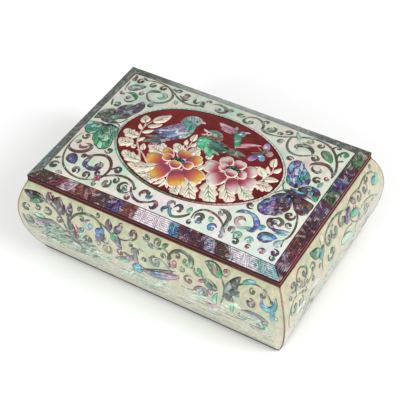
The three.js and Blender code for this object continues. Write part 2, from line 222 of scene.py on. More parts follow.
class Finish(Tree):
    """A material round one Principled shader. Plain values go straight to its sockets."""

    def __init__(self, name, values):
        self.material = bpy.data.materials.new(name)
        self.material.use_nodes = True
        super().__init__(self.material.node_tree)
        self.shader = self.tree.nodes["Principled BSDF"]
        for key, value in values.items():
            self.put(self.shader.inputs[key], value)
        self.place = self.add("ShaderNodeTexCoord").outputs["Object"]

    def stretched(self, scale, turn=(0, 0, 0)):
        inputs = {"Vector": self.place, "Scale": scale, "Rotation": turn}
        return self.add("ShaderNodeMapping", inputs).outputs[0]

    def noise(self, scale, detail=3.0, distortion=0.0, place=None):
        inputs = {"Vector": place or self.place, "Scale": scale, "Detail": detail, "Distortion": distortion}
        return Term(self, self.add("ShaderNodeTexNoise", inputs).outputs["Fac"])

    def cells(self, scale, place):
        inputs = {"Vector": place, "Scale": scale}
        return self.add("ShaderNodeTexVoronoi", inputs).outputs["Color"]

    def along(self, axis):
        split = self.add("ShaderNodeSeparateXYZ", {"Vector": self.place})
        return Term(self, split.outputs[axis])

    def share(self, value, low, high):
        """How far a value is from low to high, kept from zero to one."""
        inputs = {"Value": value, "From Min": low, "From Max": high}
        return Term(self, self.add("ShaderNodeMapRange", inputs).outputs[0])

    def ramp(self, factor, stops):
        """Colours at places from zero to one, blended between them."""
        node = self.add("ShaderNodeValToRGB", {0: factor})
        while len(node.color_ramp.elements) < len(stops):
            node.color_ramp.elements.new(1.0)
        for element, (position, code) in zip(node.color_ramp.elements, stops):
            element.position = position
            element.color = srgb(code)
        return node.outputs[0]

    def blend(self, factor, first, second, mode="MIX"):
        """The first colour with a share of the second laid on it."""
        inputs = {0: factor, 6: first, 7: second}
        return self.add("ShaderNodeMix", inputs, data_type="RGBA", blend_type=mode).outputs[2]

    def shaded(self, colour, hue, saturation, value):
        inputs = {"Color": colour, "Hue": hue, "Saturation": saturation, "Value": value}
        return self.add("ShaderNodeHueSaturation", inputs).outputs[0]

    def carried(self):
        """What a plate's points carry: its tint, and how near each of them lies to the plate's edge."""
        tint, edge = (self.add("ShaderNodeAttribute", attribute_name=name) for name in ("tint", "edge"))
        return tint.outputs["Color"], Term(self, edge.outputs["Fac"])

    def bump(self, height, strength, distance):
        inputs = {"Height": height, "Strength": strength, "Distance": distance}
        self.put(self.shader.inputs["Normal"], self.add("ShaderNodeBump", inputs).outputs[0])

    def paint(self, colour, roughness=None):
        self.put(self.shader.inputs["Base Color"], colour)
        if roughness is not None:
            self.put(self.shader.inputs["Roughness"], roughness)
        return self.material


def lacquer_finish(name, deep, light):
    """Polished lacquer with faint clouds and rubbed patches."""
    finish = Finish(name, {"Coat Weight": 0.35, "Coat Roughness": 0.06, "Specular IOR Level": 0.2})
    cloud = finish.noise(140.0, 4.0)
    rubbed = finish.noise(900.0, 5.0, place=finish.stretched((1, 1, 0.3)))
    finish.bump(rubbed, 0.08, 0.1 * MM)
    return finish.paint(finish.ramp(cloud, [(0.3, deep), (0.72, light)]), 0.24 + rubbed * 0.16)


def lid_edge_finish():
    """Dark plum lacquer on the lid's edge, with painted seam shade at its foot and a painted golden-brown
    highlight line above that, brighter and more orange-red at the right end.
    """
    coat = {"Coat Weight": 0.12, "Coat Roughness": 0.12, "Specular IOR Level": 0.12}
    finish = Finish("lid_edge_lacquer", coat)
    cloud = finish.noise(260.0, 3.0)
    rise = finish.share(finish.along("Z"), LID_BOTTOM, EDGE_TOP) + (cloud - 0.5) * 0.12
    # Up the edge: painted seam shade, a painted golden-brown highlight line, then the plum lacquer
    stops = [(0.2, "1d080b"), (0.28, "6e4030"), (0.4, "5f3428"), (0.48, "26090f"), (1.0, "3a1119")]
    colour = finish.ramp(rise, stops)
    # At the right end the painted highlight line is brighter and more orange-red
    stops = [(0.24, "4a0c10"), (0.34, "b06a4c"), (0.42, "9c4030"), (0.52, "4a0d12"), (1.0, "2c0a10")]
    right_end_highlight = finish.ramp(rise, stops)
    at_end = finish.share(finish.along("X"), HALF_LENGTH - 0.8 * MM, HALF_LENGTH - 0.3 * MM)
    return finish.paint(finish.blend(at_end, colour, right_end_highlight), 0.3 + cloud * 0.15)


def corner_finish():
    """Rubbed lacquer of the corner lines, paler towards the top."""
    finish = Finish("corner_lacquer", {"Coat Weight": 0.1, "Specular IOR Level": 0.15})
    worn = finish.noise(500.0, 4.0)
    rise = finish.share(finish.along("Z"), WALL_FOOT, WALL_TOP) + (worn - 0.5) * 0.3
    return finish.paint(finish.ramp(rise, [(0.2, "6a453b"), (0.8, "a07a68")]), 0.4 + worn * 0.1)


def coated_shell(name, weight, roughness, film, film_index):
    """Shell under lacquer, with the play of colour of a thin film, in nanometres."""
    coat = {"Coat Weight": weight, "Coat Roughness": roughness}
    return Finish(name, coat | {"Thin Film Thickness": film, "Thin Film IOR": film_index})


def lid_pearl_finish():
    """White shell sheets under lacquer: soft tiles of cream, green and pink, with a painted blue-white glare
    towards the front right.
    """
    finish = coated_shell("lid_pearl", 0.9, 0.05, 420.0, 1.35)
    cloud = finish.noise(62.0, 3.0, 0.8)
    tile = finish.cells(95.0, finish.stretched((1, 1.4, 1)))
    silk = finish.noise(300.0, 4.0, 0.6, finish.stretched((1, 0.22, 1), (0, 0, 0.6)))
    base = finish.ramp(cloud, [(0.30, "a9c2ad"), (0.45, "c3c9b6"), (0.58, "cfc8b6"), (0.72, "cbb3b1")])
    toned = finish.blend(0.12, base, tile, "SOFT_LIGHT")
    # Painted glare: the shell turns blue-white towards the front right
    front = finish.share(finish.along("X") * 0.45 - finish.along("Y") + cloud * 0.06, 0.045, 0.1)
    glare_whitened = finish.blend(front * 0.6, toned, "d3d8e0")
    mottle = finish.noise(130.0, 2.0, 1.2)
    spots = finish.ramp(mottle, [(0.38, "9fc4ae"), (0.47, "c9cdbd"), (0.55, "dcd8d0"), (0.64, "cfaaa8")])
    streaked = finish.shaded(finish.blend(0.24, glare_whitened, spots), 0.5, 1.0, 0.80 + silk * 0.38)
    finish.bump(silk, 0.05, 0.1 * MM)
    return finish.paint(streaked, 0.22 + silk * 0.2)


def side_pearl_finish():
    """Cream shell: yellow-green under the rim, greyer and paler towards the foot, where a painted reflection
    of the floor lightens it, with slanting silk.
    """
    finish = coated_shell("side_pearl", 0.8, 0.07, 380.0, 1.35)
    cloud = finish.noise(48.0, 4.0, 1.2)
    silk = finish.noise(210.0, 5.0, 1.0, finish.stretched((1, 1, 0.25), (0.35, 0.45, 0)))
    rise = finish.share(finish.along("Z"), WALL_FOOT, WALL_TOP) + (cloud - 0.5) * 0.5
    # Tints by height; the light lowest stop is partly a painted reflection of the floor
    upright = finish.ramp(rise, [(0.1, "bdc3a9"), (0.42, "a6b09b"), (0.66, "acae88"), (0.95, "b0a66c")])
    tinge = finish.ramp(finish.noise(36.0, 2.0, 1.5), [(0.36, "8fae92"), (0.5, "a8a892"), (0.66, "aca589")])
    mixed = finish.blend(0.38, upright, tinge)
    mottle = finish.noise(105.0, 2.5, 1.6)
    spots = finish.ramp(mottle, [(0.36, "7f9f86"), (0.46, "b1ad90"), (0.54, "c6c5aa"), (0.64, "b79c84")])
    aside = (finish.along("X") - GRASS_PLACE[0]) / GRASS_SIZE[0]
    above = (finish.along("Z") - GRASS_PLACE[1]) / GRASS_SIZE[1]
    grass = finish.share(aside * aside + above * above + (mottle - 0.5) * 1.6, 1.3, 0.3)
    grassy = finish.blend(grass * 0.52, finish.blend(0.4, mixed, spots), "6a8a76")
    # Painted light: the lowest nine millimetres are brightened, as a reflection of the floor
    low = 1 - finish.share(finish.along("Z"), WALL_FOOT, WALL_FOOT + 9 * MM)
    streaked = finish.shaded(grassy, 0.5, 1.0, 0.72 + silk * 0.5 + low * 0.14)
    finish.bump(silk, 0.06, 0.1 * MM)
    return finish.paint(streaked, 0.25 + silk * 0.2)


def abalone_finish():
    """Abalone and pearl plates: each plate's own tint, streaked, with painted glints of pale mint, white and
    pink, and a dark outline.
    """
    finish = coated_shell("abalone_shell", 0.9, 0.05, 460.0, 1.4)
    finish.put(finish.shader.inputs["Metallic"], 0.15)
    tint, edge = finish.carried()
    cloud = finish.noise(330.0, 3.0, 1.0)
    silk = finish.noise(800.0, 3.0, 0.4, finish.stretched((1, 0.3, 1), (0, 0, 0.9)))
    hued = finish.shaded(tint, 0.32 + cloud * 0.36, 0.95, 0.1 + silk * 1.5)
    # Painted glints: pale mint, white and pink spots where a fine noise runs high
    painted_glint = finish.share(finish.noise(300.0, 1.0, 0.8), 0.55, 0.68)
    pale = finish.ramp(cloud, [(0.4, "a9e0cb"), (0.5, "ece6ea"), (0.6, "e6b2c4")])
    outline = finish.share(edge, 0.55, 0.9)
    colour = finish.blend(outline * 0.85, finish.blend(painted_glint * 0.42, hued, pale), "2a1814")
    finish.bump(silk, 0.08, 0.1 * MM)
    return finish.paint(colour, 0.2 + cloud * 0.2)


def painted_shell_finish():
    """Cut and tinted petals and leaves of the oval picture: clean colour and a pale outline."""
    finish = Finish("painted_shell", {"Coat Weight": 0.9, "Coat Roughness": 0.05})
    tint, edge = finish.carried()
    grain = finish.noise(900.0, 4.0, 0.3)
    shaded = finish.shaded(tint, 0.5, 0.96, 0.62 + grain * 0.6)
    rimmed = finish.blend(finish.share(edge, 0.55, 0.88), shaded, "e6c9b8")
    colour = finish.blend(finish.share(edge, 0.92, 1.0) * 0.75, rimmed, "45151a")
    finish.bump(grain, 0.05, 0.1 * MM)
    return finish.paint(colour, 0.3 + grain * 0.12)


def velvet_finish():
    """Burgundy velvet with a short, uneven pile."""
    sheen = {"Sheen Weight": 0.9, "Sheen Roughness": 0.35, "Sheen Tint": "c05a68", "IOR": 1.3}
    finish = Finish("burgundy_velvet", sheen)
    pile = finish.noise(5200.0, 2.0)
    stroked = finish.noise(90.0, 3.0, 0.8)
    finish.bump(pile, 0.5, 0.25 * MM)
    colour = finish.ramp(stroked * 0.7 + pile * 0.3, [(0.3, "3c0a17"), (0.7, "6d1a2b")])
    return finish.paint(colour, 0.85 + pile * 0.1)


def felt_finish():
    """Black wool felt."""
    finish = Finish("black_felt", {"Sheen Weight": 0.4, "Sheen Roughness": 0.5})
    fibre = finish.noise(3400.0, 5.0, 2.5)
    finish.bump(fibre, 0.6, 0.3 * MM)
    return finish.paint(finish.ramp(fibre, [(0.3, "171615"), (0.7, "35312d")]), 0.9 + fibre * 0.1)


def brass_finish():
    """Satin brass, a little tarnished in its hollows."""
    finish = Finish("satin_brass", {"Metallic": 1.0})
    tarnish = finish.noise(420.0, 5.0, 0.5)
    brushed = finish.noise(2600.0, 2.0, 0.0, finish.stretched((0.08, 1, 1)))
    finish.bump(brushed, 0.12, 0.05 * MM)
    colour = finish.ramp(tarnish, [(0.3, "7d5f2a"), (0.55, "b8923f"), (0.8, "d8b566")])
    return finish.paint(colour, 0.26 + brushed * 0.16)


def side_out(height):
    """How far a side stands out at a height."""
    height = np.asarray(height, float)
    above = (height - BELLY_LEVEL) / (WALL_TOP - BELLY_LEVEL)
    below = (BELLY_LEVEL - height) / (BELLY_LEVEL - WALL_FOOT)
    upper = BELLY_OUT - (BELLY_OUT - WALL_TOP_OUT) * above**2
    lower = BELLY_OUT - (BELLY_OUT + FOOT_IN) * below**2
    return np.where(height > BELLY_LEVEL, upper, lower)


def face_level(x, y):
    """Height of the lid's face: a bevelled border round a crowned middle."""
    inset = np.minimum(HALF_LENGTH - abs(x), HALF_DEPTH - abs(y))
    bevel = BEVEL_RISE * np.clip(inset / BORDER_WIDTH, 0, 1)
    crown = CROWN_RISE * (1 - (x / HALF_LENGTH) ** 2) * (1 - (y / HALF_DEPTH) ** 2)
    return EDGE_TOP + bevel + crown


def turned(points, angle):
    """Points turned about the upright axis."""
    cos, sin = math.cos(angle), math.sin(angle)
    return points @ np.array([[cos, sin, 0], [-sin, cos, 0], [0, 0, 1]])


def on_face(places, level):
    """Places over the lid, put at a level above its face."""
    return np.column_stack([places, face_level(*places.T) + level])


def lay_on_lid(drawn, proud):
    return on_face(np.asarray(drawn, float) * MM, proud * MM)


def side_layer(side):
    """A function that lays what is drawn, along and up, on one bowed side."""

    def lay(drawn, proud):
        along, height = np.asarray(drawn, float).T * MM
        out = side["reach"] + side_out(height) + proud * MM
        return turned(np.stack([along, -out, height], 1), side["turn"])

    return lay


def linked(name, data):
    """A new object in the scene."""
    new = bpy.data.objects.new(name, data)
    bpy.context.scene.collection.objects.link(new)
    return new


def mesh_piece(name, points, faces, material, smooth=True):
    """A mesh object at the origin. smooth is one choice, or one for each face."""
    mesh = bpy.data.meshes.new(name)
    mesh.from_pydata(np.asarray(points, float).tolist(), [], faces)
    mesh.polygons.foreach_set("use_smooth", np.broadcast_to(smooth, len(faces)).astype(bool))
    mesh.materials.append(material)
    mesh.update()
    return linked(name, mesh)


def sharpen(piece, angle=35):
    """Keeps edges sharp that are keener than an angle in degrees."""
    piece.data.set_sharp_from_angle(angle=math.radians(angle))
    return piece


def smooth_piece(name, mesh):
    """The object of a ready mesh, smooth but for its sharp edges."""
    mesh.polygons.foreach_set("use_smooth", np.ones(len(mesh.polygons), bool))
    return sharpen(linked(name, mesh))


def outward(piece):
    """Turns a closed mesh's faces outwards."""
    shape = bmesh.new()
    shape.from_mesh(piece.data)
    bmesh.ops.recalc_face_normals(shape, faces=shape.faces)
    shape.to_mesh(piece.data)
    shape.free()
    return piece


def ringed_piece(name, rings, closed_ends, material, angle=35):
    """A piece of rings of points, wrapped round, with its first and last ring capped or joined."""
    rows, count = len(rings), len(rings[0])
    faces = []
    for row in range(rows - closed_ends):
        here, there = row * count, (row + 1) % rows * count
        for k in range(count):
            nxt = (k + 1) % count
            faces.append((here + k, here + nxt, there + nxt, there + k))
    if closed_ends:
        last = (rows - 1) * count
        faces += [tuple(range(count))[::-1], tuple(range(last, last + count))]
    return sharpen(outward(mesh_piece(name, np.vstack(rings), faces, material)), angle)


def stand_for(piece, body, slot, *nodes):
    """Says which body a piece moves with and the nodes that it stands for, which it hides. slot is not used.
    """
    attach(piece, body)
    if nodes:
        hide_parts(*nodes)


def add_tints(mesh, tints, edges=None):
    """What a mesh's points carry: their tints and, if it has outlines, how near its plate's edge each is."""
    mesh.attributes.new("tint", "FLOAT_COLOR", "POINT")
    mesh.attributes.new("edge", "FLOAT", "POINT")
    mesh.attributes["tint"].data.foreach_set("color", np.asarray(tints, np.float32).ravel())
    if edges is not None:
        mesh.attributes["edge"].data.foreach_set("value", np.asarray(edges, np.float32))


class Plates:
    """Thin closed plates of shell, drawn on a face and made into one mesh."""

    def __init__(self, lay):
        self.lay = lay
        self.points, self.faces, self.smooth = [], [], []
        self.tints, self.edges = [], []
        self.count = 0
        self.made = 0
        # Discs that are taken, as x, y and radius, and how strong the next plates' outlines are
        self.taken = []
        self.outlined = 1.0

    def add(self, drawn, tops, loop, tint, edge, level):
        """One plate: drawn points, faces on top, the loop of its outline and a tint for each point."""
        size = len(drawn)
        proud = PLATE_PROUD + level * PLATE_LEVEL + (self.made % 9) * PLATE_STEP
        self.made += 1
        self.points += [self.lay(drawn, proud), self.lay(drawn, -PLATE_DEPTH)]
        for face in tops:
            self.faces.append(tuple(self.count + i for i in face))
            self.faces.append(tuple(self.count + size + i for i in reversed(face)))
        for i, start in enumerate(loop):
            end = loop[(i + 1) % len(loop)]
            a, b = self.count + start, self.count + end
            self.faces.append((b, a, a + size, b + size))
        self.smooth += [True, False] * len(tops) + [False] * len(loop)
        self.tints += [tint, tint]
        self.edges += [edge * self.outlined] * 2
        self.count += 2 * size

    def ribbon(self, line, half_widths, tint, end_tint=None, level=0, columns=2):
        """A band along a line, from one tint to another."""
        line = np.asarray(line, float)
        slope = np.gradient(line, axis=0)
        slope /= np.maximum(np.linalg.norm(slope, axis=1, keepdims=True), SMALL)
        across = np.stack([-slope[:, 1], slope[:, 0]], 1)
        shares = np.linspace(-1, 1, columns + 1)
        widths = np.maximum(half_widths, 0.02)[:, None, None]
        drawn = (line[:, None] + across[:, None] * shares[None, :, None] * widths).reshape(-1, 2)
        rows, wide = len(line), columns + 1
        tops = [
            (r * wide + c, (r + 1) * wide + c, (r + 1) * wide + c + 1, r * wide + c + 1)
            for r in range(rows - 1)
            for c in range(columns)
        ]
        loop = [r * wide for r in range(rows)]
        loop += [(rows - 1) * wide + c for c in range(1, wide)]
        loop += [r * wide + columns for r in range(rows - 2, -1, -1)]
        loop += [c for c in range(columns - 1, 0, -1)]
        tints = blended((tint, end_tint or tint), np.repeat(np.linspace(0, 1, rows), wide))
        edge = np.broadcast_to(abs(shares), (rows, wide)).copy()
        edge[0] = edge[-1] = 1
        self.add(drawn, tops, loop, tints, edge.reshape(-1), level)
        self.taken += [(*spot, width) for spot, width in zip(line[::2], widths[::2, 0, 0])]

    def patch(self, outline, tints, axis=None, level=0, rings=3):
        """A plate inside an outline, with its tints in a row along an axis, or from its middle."""
        outline = np.asarray(outline, float)
        ahead = np.roll(outline, -1, 0)
        if np.sum(outline[:, 0] * ahead[:, 1] - outline[:, 1] * ahead[:, 0]) < 0:
            outline = outline[::-1]
        middle = outline.mean(0)
        shares = np.linspace(0, 1, rings + 1)[1:]
        drawn = np.vstack([middle[None], *[middle + (outline - middle) * s for s in shares]])
        count = len(outline)
        tops = [(0, 1 + k, 1 + (k + 1) % count) for k in range(count)]
        for ring in range(rings - 1):
            low, high = 1 + ring * count, 1 + (ring + 1) * count
            for k in range(count):
                nxt = (k + 1) % count
                tops.append((low + k, high + k, high + nxt, low + nxt))
        loop = [1 + (rings - 1) * count + k for k in range(count)]
        edge = np.concatenate([[0], np.repeat(shares, count)])
        mix = edge
        if axis is not None:
            start, end = (np.asarray(p, float) for p in axis)
            mix = np.clip((drawn - start) @ (end - start) / np.sum((end - start) ** 2), 0, 1)
        self.add(drawn, tops, loop, blended(tints, mix), edge, level)
        self.taken.append((*middle, np.mean(np.linalg.norm(outline - middle, axis=1))))

    def is_free(self, spot, radius):
        """Whether a disc keeps clear of all that is drawn so far."""
        taken = np.array(self.taken)
        away = np.linalg.norm(taken[:, :2] - spot, axis=1) - taken[:, 2]
        return away.min() > radius

    def finish(self, name, material):
        """All plates as one piece."""
        piece = mesh_piece(name, np.vstack(self.points), self.faces, material, self.smooth)
        add_tints(piece.data, np.vstack(self.tints), np.concatenate(self.edges))
        return piece


def smooth_line(points, steps=7):
    """A Catmull-Rom curve through the points."""
    points = np.asarray(points, float)
    ends = [2 * points[0] - points[1]], [2 * points[-1] - points[-2]]
    p = np.vstack([ends[0], points, ends[1]])
    t = np.linspace(0, 1, steps, endpoint=False)[:, None]
    runs = [
        0.5 * (2 * b + (c - a) * t + (2 * a - 5 * b + 4 * c - d) * t**2 + (3 * b - a - 3 * c + d) * t**3)
        for a, b, c, d in zip(p, p[1:], p[2:], p[3:])
    ]
    return np.vstack([*runs, points[-1:]])


def closed_line(points, steps=5):
    """A smooth closed outline through the points."""
    points = np.asarray(points, float)
    wrapped = np.vstack([points[-2:], points, points[:2]])
    return smooth_line(wrapped, steps)[2 * steps : -(steps + 1)]


def placed(points, centre, turn):
    """Drawn points, turned by an angle in radians and moved."""
    cos, sin = math.cos(turn), math.sin(turn)
    return np.asarray(points, float) @ np.array([[cos, sin], [-sin, cos]]) + np.asarray(centre, float)


def oval(centre, half_x, half_y=None, turn=0.0, count=12):
    """The outline of an oval, or of a disc if it has one half size."""
    angles = np.linspace(0, FULL_TURN, count, endpoint=False)
    points = np.stack([half_x * np.cos(angles), (half_y or half_x) * np.sin(angles)], 1)
    return placed(points, centre, turn)


def curl(plates, centre, radius, start, hand, tint, fat=0.44):
    """A comma-shaped curl: a thin tail, from an angle in degrees, that swells as it winds in, and a
    round head. hand is 1 to wind to the left and -1 to the right."""
    shares = np.linspace(0, 1, int(STEPS_IN_TURN * CURL_TURNS) + 2)
    angles = math.radians(start) + hand * shares * CURL_TURNS * FULL_TURN
    reach = radius * (1 - (1 - CURL_INNER) * shares)
    line = np.asarray(centre, float) + reach[:, None] * np.stack([np.cos(angles), np.sin(angles)], 1)
    widths = radius * (CURL_TAIL + (fat - CURL_TAIL) * np.sin(math.pi * shares * 0.75) ** 1.2)
    plates.ribbon(line, widths, PARTNERS.get(tint, tint), tint)
    plates.patch(oval(line[-1], radius * 0.48), [tint], rings=2)
    plates.taken.append((*centre, radius * 1.1))


def sprigs(plates, line, tint, inside, dice):
    """Small curls that branch from a stem, by turns to its left and right, where there is room."""
    lengths = np.concatenate([[0], np.cumsum(np.linalg.norm(np.diff(line, axis=0), axis=1))])
    side = 1
    for place in np.arange(SPRIG_SPACING * 0.8, lengths[-1] - SPRIG_SPACING * 0.5, SPRIG_SPACING):
        at = int(np.searchsorted(lengths, place))
        ahead = line[at] - line[at - 1]
        ahead /= np.linalg.norm(ahead)
        for hand in (side, -side):
            out = np.array([-ahead[1], ahead[0]]) * hand
            radius = SPRIG_RADIUS * dice.uniform(0.8, 1.15)
            centre = line[at] + out * radius * 1.75 + ahead * radius * 0.7
            if inside(centre, radius) and plates.is_free(centre, radius * 0.95):
                start = math.degrees(math.atan2(*(-out - ahead * 0.5)[::-1]))
                curl(plates, centre, radius, start, hand, tint)
                side = -hand
                break


def fill_gaps(plates, dice, tries, half_run, inside):
    """Loose curls in whatever room is left on a side."""
    for _ in range(tries):
        spot = (dice.uniform(-half_run, half_run), dice.uniform(30, 56))
        radius = dice.uniform(1.4, 2.3)
        if inside(spot, radius) and plates.is_free(spot, radius * 1.25):
            start, hand = dice.uniform(0, 360), dice.choice((1, -1))
            curl(plates, spot, radius, start, hand, dice.choice(("moss", "olive", "brown", "grey")))


def vine(plates, points, half_width, tint, end_tint, disc):
    """A stem that tapers to both ends and may end in a small disc, of the given radius."""
    line = smooth_line(points)
    shares = np.linspace(0, 1, len(line))
    plates.ribbon(line, half_width * (0.5 + 0.5 * np.sin(math.pi * shares) ** 0.6), tint, end_tint)
    if disc:
        plates.patch(oval(line[-1], disc), [end_tint], rings=2)
    return line


def flipped(points, flip):
    """Drawn points, or their mirror image if flip is -1."""
    return [(x * flip, y) for x, y in points]


def strokes(plates, rows, flip=1, level=1):
    """Fat tapered strokes: tint, end tint, half width, points."""
    for tint, end_tint, half_width, points in rows:
        line = smooth_line(flipped(points, flip))
        shares = np.linspace(0, 1, len(line))
        plates.ribbon(line, half_width * np.sin(math.pi * shares) ** 0.8, tint, end_tint, level)


def curls(plates, rows, flip=1, fat=0.44):
    """Curls: x, y, radius, start in degrees, hand, tint."""
    for x, y, radius, start, hand, tint in rows:
        curl(plates, (x * flip, y), radius, start if flip > 0 else 180 - start, hand * flip, tint, fat)


def leaf(plates, base, tip, half_width, tint, end_tint, bend=0.0, teeth=0, level=0, vein=None):
    """A leaf from base to tip, bent to its left by a share of its length, with or without teeth and
    veins of a tint of their own."""
    base, tip = np.asarray(base, float), np.asarray(tip, float)
    run = tip - base
    side = np.array([-run[1], run[0]])
    count = max(12, 5 * teeth + 1)
    shares = np.linspace(0, 1, count)
    line = base + run * shares[:, None] + side * (bend * 4 * shares * (1 - shares))[:, None]
    widths = half_width * np.sin(math.pi * shares**0.75) ** 0.7
    if teeth:
        notched = 1 - 0.36 * (1 - (shares * teeth) % 1.0)
        widths = half_width * np.sin(math.pi * shares**0.9) ** 0.55 * notched
    plates.ribbon(line, widths, tint, end_tint, level)
    if vein:
        plates.ribbon(line[:-2], np.linspace(0.3, 0.12, count - 2), vein, level=level + 1, columns=1)
        for share in (0.2, 0.4, 0.6) if half_width > VEINED_HALF_WIDTH else ():
            at = int(share * count)
            ahead = line[min(at + 4, count - 1)]
            for sign in (-1, 1):
                end = ahead + side / np.linalg.norm(side) * sign * widths[at] * 0.6
                plates.ribbon([line[at], end], np.array([0.24, 0.12]), vein, level=level + 1, columns=1)


def leaves(plates, rows, flip=1):
    """Plain leaves: base, tip, half width, tint, end tint, bend."""
    for base, tip, half_width, tint, end_tint, bend in rows:
        leaf(plates, *flipped([base, tip], flip), half_width, tint, end_tint, bend * flip, level=1)


def scalloped(rim, root):
    """The points of a rim with one more between each two, pushed away from the root."""
    points = [rim[0]]
    for a, b in zip(rim, rim[1:]):
        middle = (a + b) / 2
        out = (middle - root) / np.linalg.norm(middle - root)
        points += [middle + out * 0.16 * np.linalg.norm(b - a), b]
    return points


def wing(plates, root, rim, tints):
    """A wing of three rows of cells between veins that fan out from its root, on a dark plate."""
    root, rim = np.asarray(root, float), np.asarray(rim, float)
    edge = scalloped(rim, root)
    plates.patch(closed_line([root, *edge], 3), ["ink"], level=1, rings=3)
    plates.outlined = 0.7
    for number, (a, lobe, b) in enumerate(zip(edge[::2], edge[1::2], edge[2::2])):
        for low, high, shift in ((0.16, 0.43, 2), (0.45, 0.71, 1), (0.73, 0.98, 0)):
            cell = np.array([a - root, lobe - root, b - root])
            cell = root + np.vstack([cell * high, cell[::-2] * low])
            inward = cell.mean(0) - cell
            inward *= WING_GAP / np.linalg.norm(inward, axis=1, keepdims=True)
            tint = tints[(number + shift) % len(tints)]
            row = [tint, tint, PARTNERS.get(tint, tint)]
            plates.patch(cell + inward, row, (lobe, root), level=2, rings=2)
    plates.outlined = 1.0


# Wings of the two large butterflies: root, rim and tints
LEFT_BUTTERFLY = [
    ((-61, -2.4), [(-62.6, -11), (-66.5, -12.6), (-70.2, -10.4), (-72.4, -6.4), (-72.4, -2.4)], ("mint",
     "emerald", "teal")),
    ((-61, 4.2), [(-64, 11.4), (-68.2, 10.8), (-71.4, 7.8), (-72, 3.6), (-71, 0.6)], ("olive", "grey",
     "moss")),
    ((-60, -1.4), [(-52, -2.6), (-50.4, -7.6), (-48.6, -13), (-47.6, -18), (-51, -21.6), (-55.4, -20.4),
     (-59.2, -17.4), (-62.4, -14), (-63, -9.6)], ("emerald", "emerald", "teal", "emerald", "mint")),
    ((-59.6, 4), [(-53.2, 5.6), (-50.8, 10), (-48.6, 15), (-49.2, 21), (-52.6, 23.2), (-55.6, 19),
     (-59.4, 17.8), (-62.6, 15.4), (-63.4, 11)], ("slate", "grey", "slate", "plum")),
]
RIGHT_BUTTERFLY = [
    ((60, 3), [(62.8, 8.6), (66.8, 10.2), (70.4, 9.2), (71.8, 5.4), (71, 1.2)], ("plum", "indigo", "maroon",
     "teal")),
    ((60, -1.2), [(63.6, -8.6), (67, -11.4), (70.8, -10.2), (72, -6), (71, -0.6)], ("rosewood", "maroon",
     "slate")),
    ((58.6, 3.6), [(53, 4.4), (50.4, 9.4), (48, 15), (48.2, 21), (51.6, 23.4), (55, 20.2), (58.4, 17.8),
     (61.4, 14.4), (62.8, 10)], ("teal", "indigo", "sky", "violet", "mist", "sky")),
    ((58.8, -1.8), [(53.4, -4), (50.4, -9), (48, -13.6), (47.4, -18.4), (51.2, -21.6), (56, -20),
     (60.4, -16.6), (62.8, -11.4), (62, -7)], ("maroon", "plum", "indigo", "violet", "indigo", "plum")),
]
# Bodies and feelers: base, tip, half width, tint, end tint
BUTTERFLY_BODIES = [
    ((-67.4, 1.4), (-54.2, 0.6), 1.9, "slate", "moss"), ((-62.4, 3), (-54.6, 7.4), 2.3, "emerald", "olive"),
    ((66.6, 0.8), (53, -1.4), 2.1, "plum", "ink"), ((56.2, 1.6), (64.2, 2.4), 1.0, "indigo", "sky"),
]
BUTTERFLY_FEELERS = [
    [(-54.6, 1.2), (-52.6, 3), (-51.6, 6.2)], [(-54.6, 0), (-52.8, -0.6), (-51.8, -2.2)],
    [(53.6, -0.6), (52, 1.6), (51.6, 4.4)], [(53.6, -2), (52.4, -3.4), (51, -5.6)],
]


def large_butterflies(plates):
    """The butterflies at both ends of the oval picture."""
    for root, rim, tints in LEFT_BUTTERFLY + RIGHT_BUTTERFLY:
        wing(plates, root, rim, tints)
    for base, tip, half_width, tint, end_tint in BUTTERFLY_BODIES:
        leaf(plates, base, tip, half_width, tint, end_tint, level=4)
    for points in BUTTERFLY_FEELERS:
        plates.ribbon(smooth_line(points), np.full(15, 0.28), "ink", level=3, columns=1)


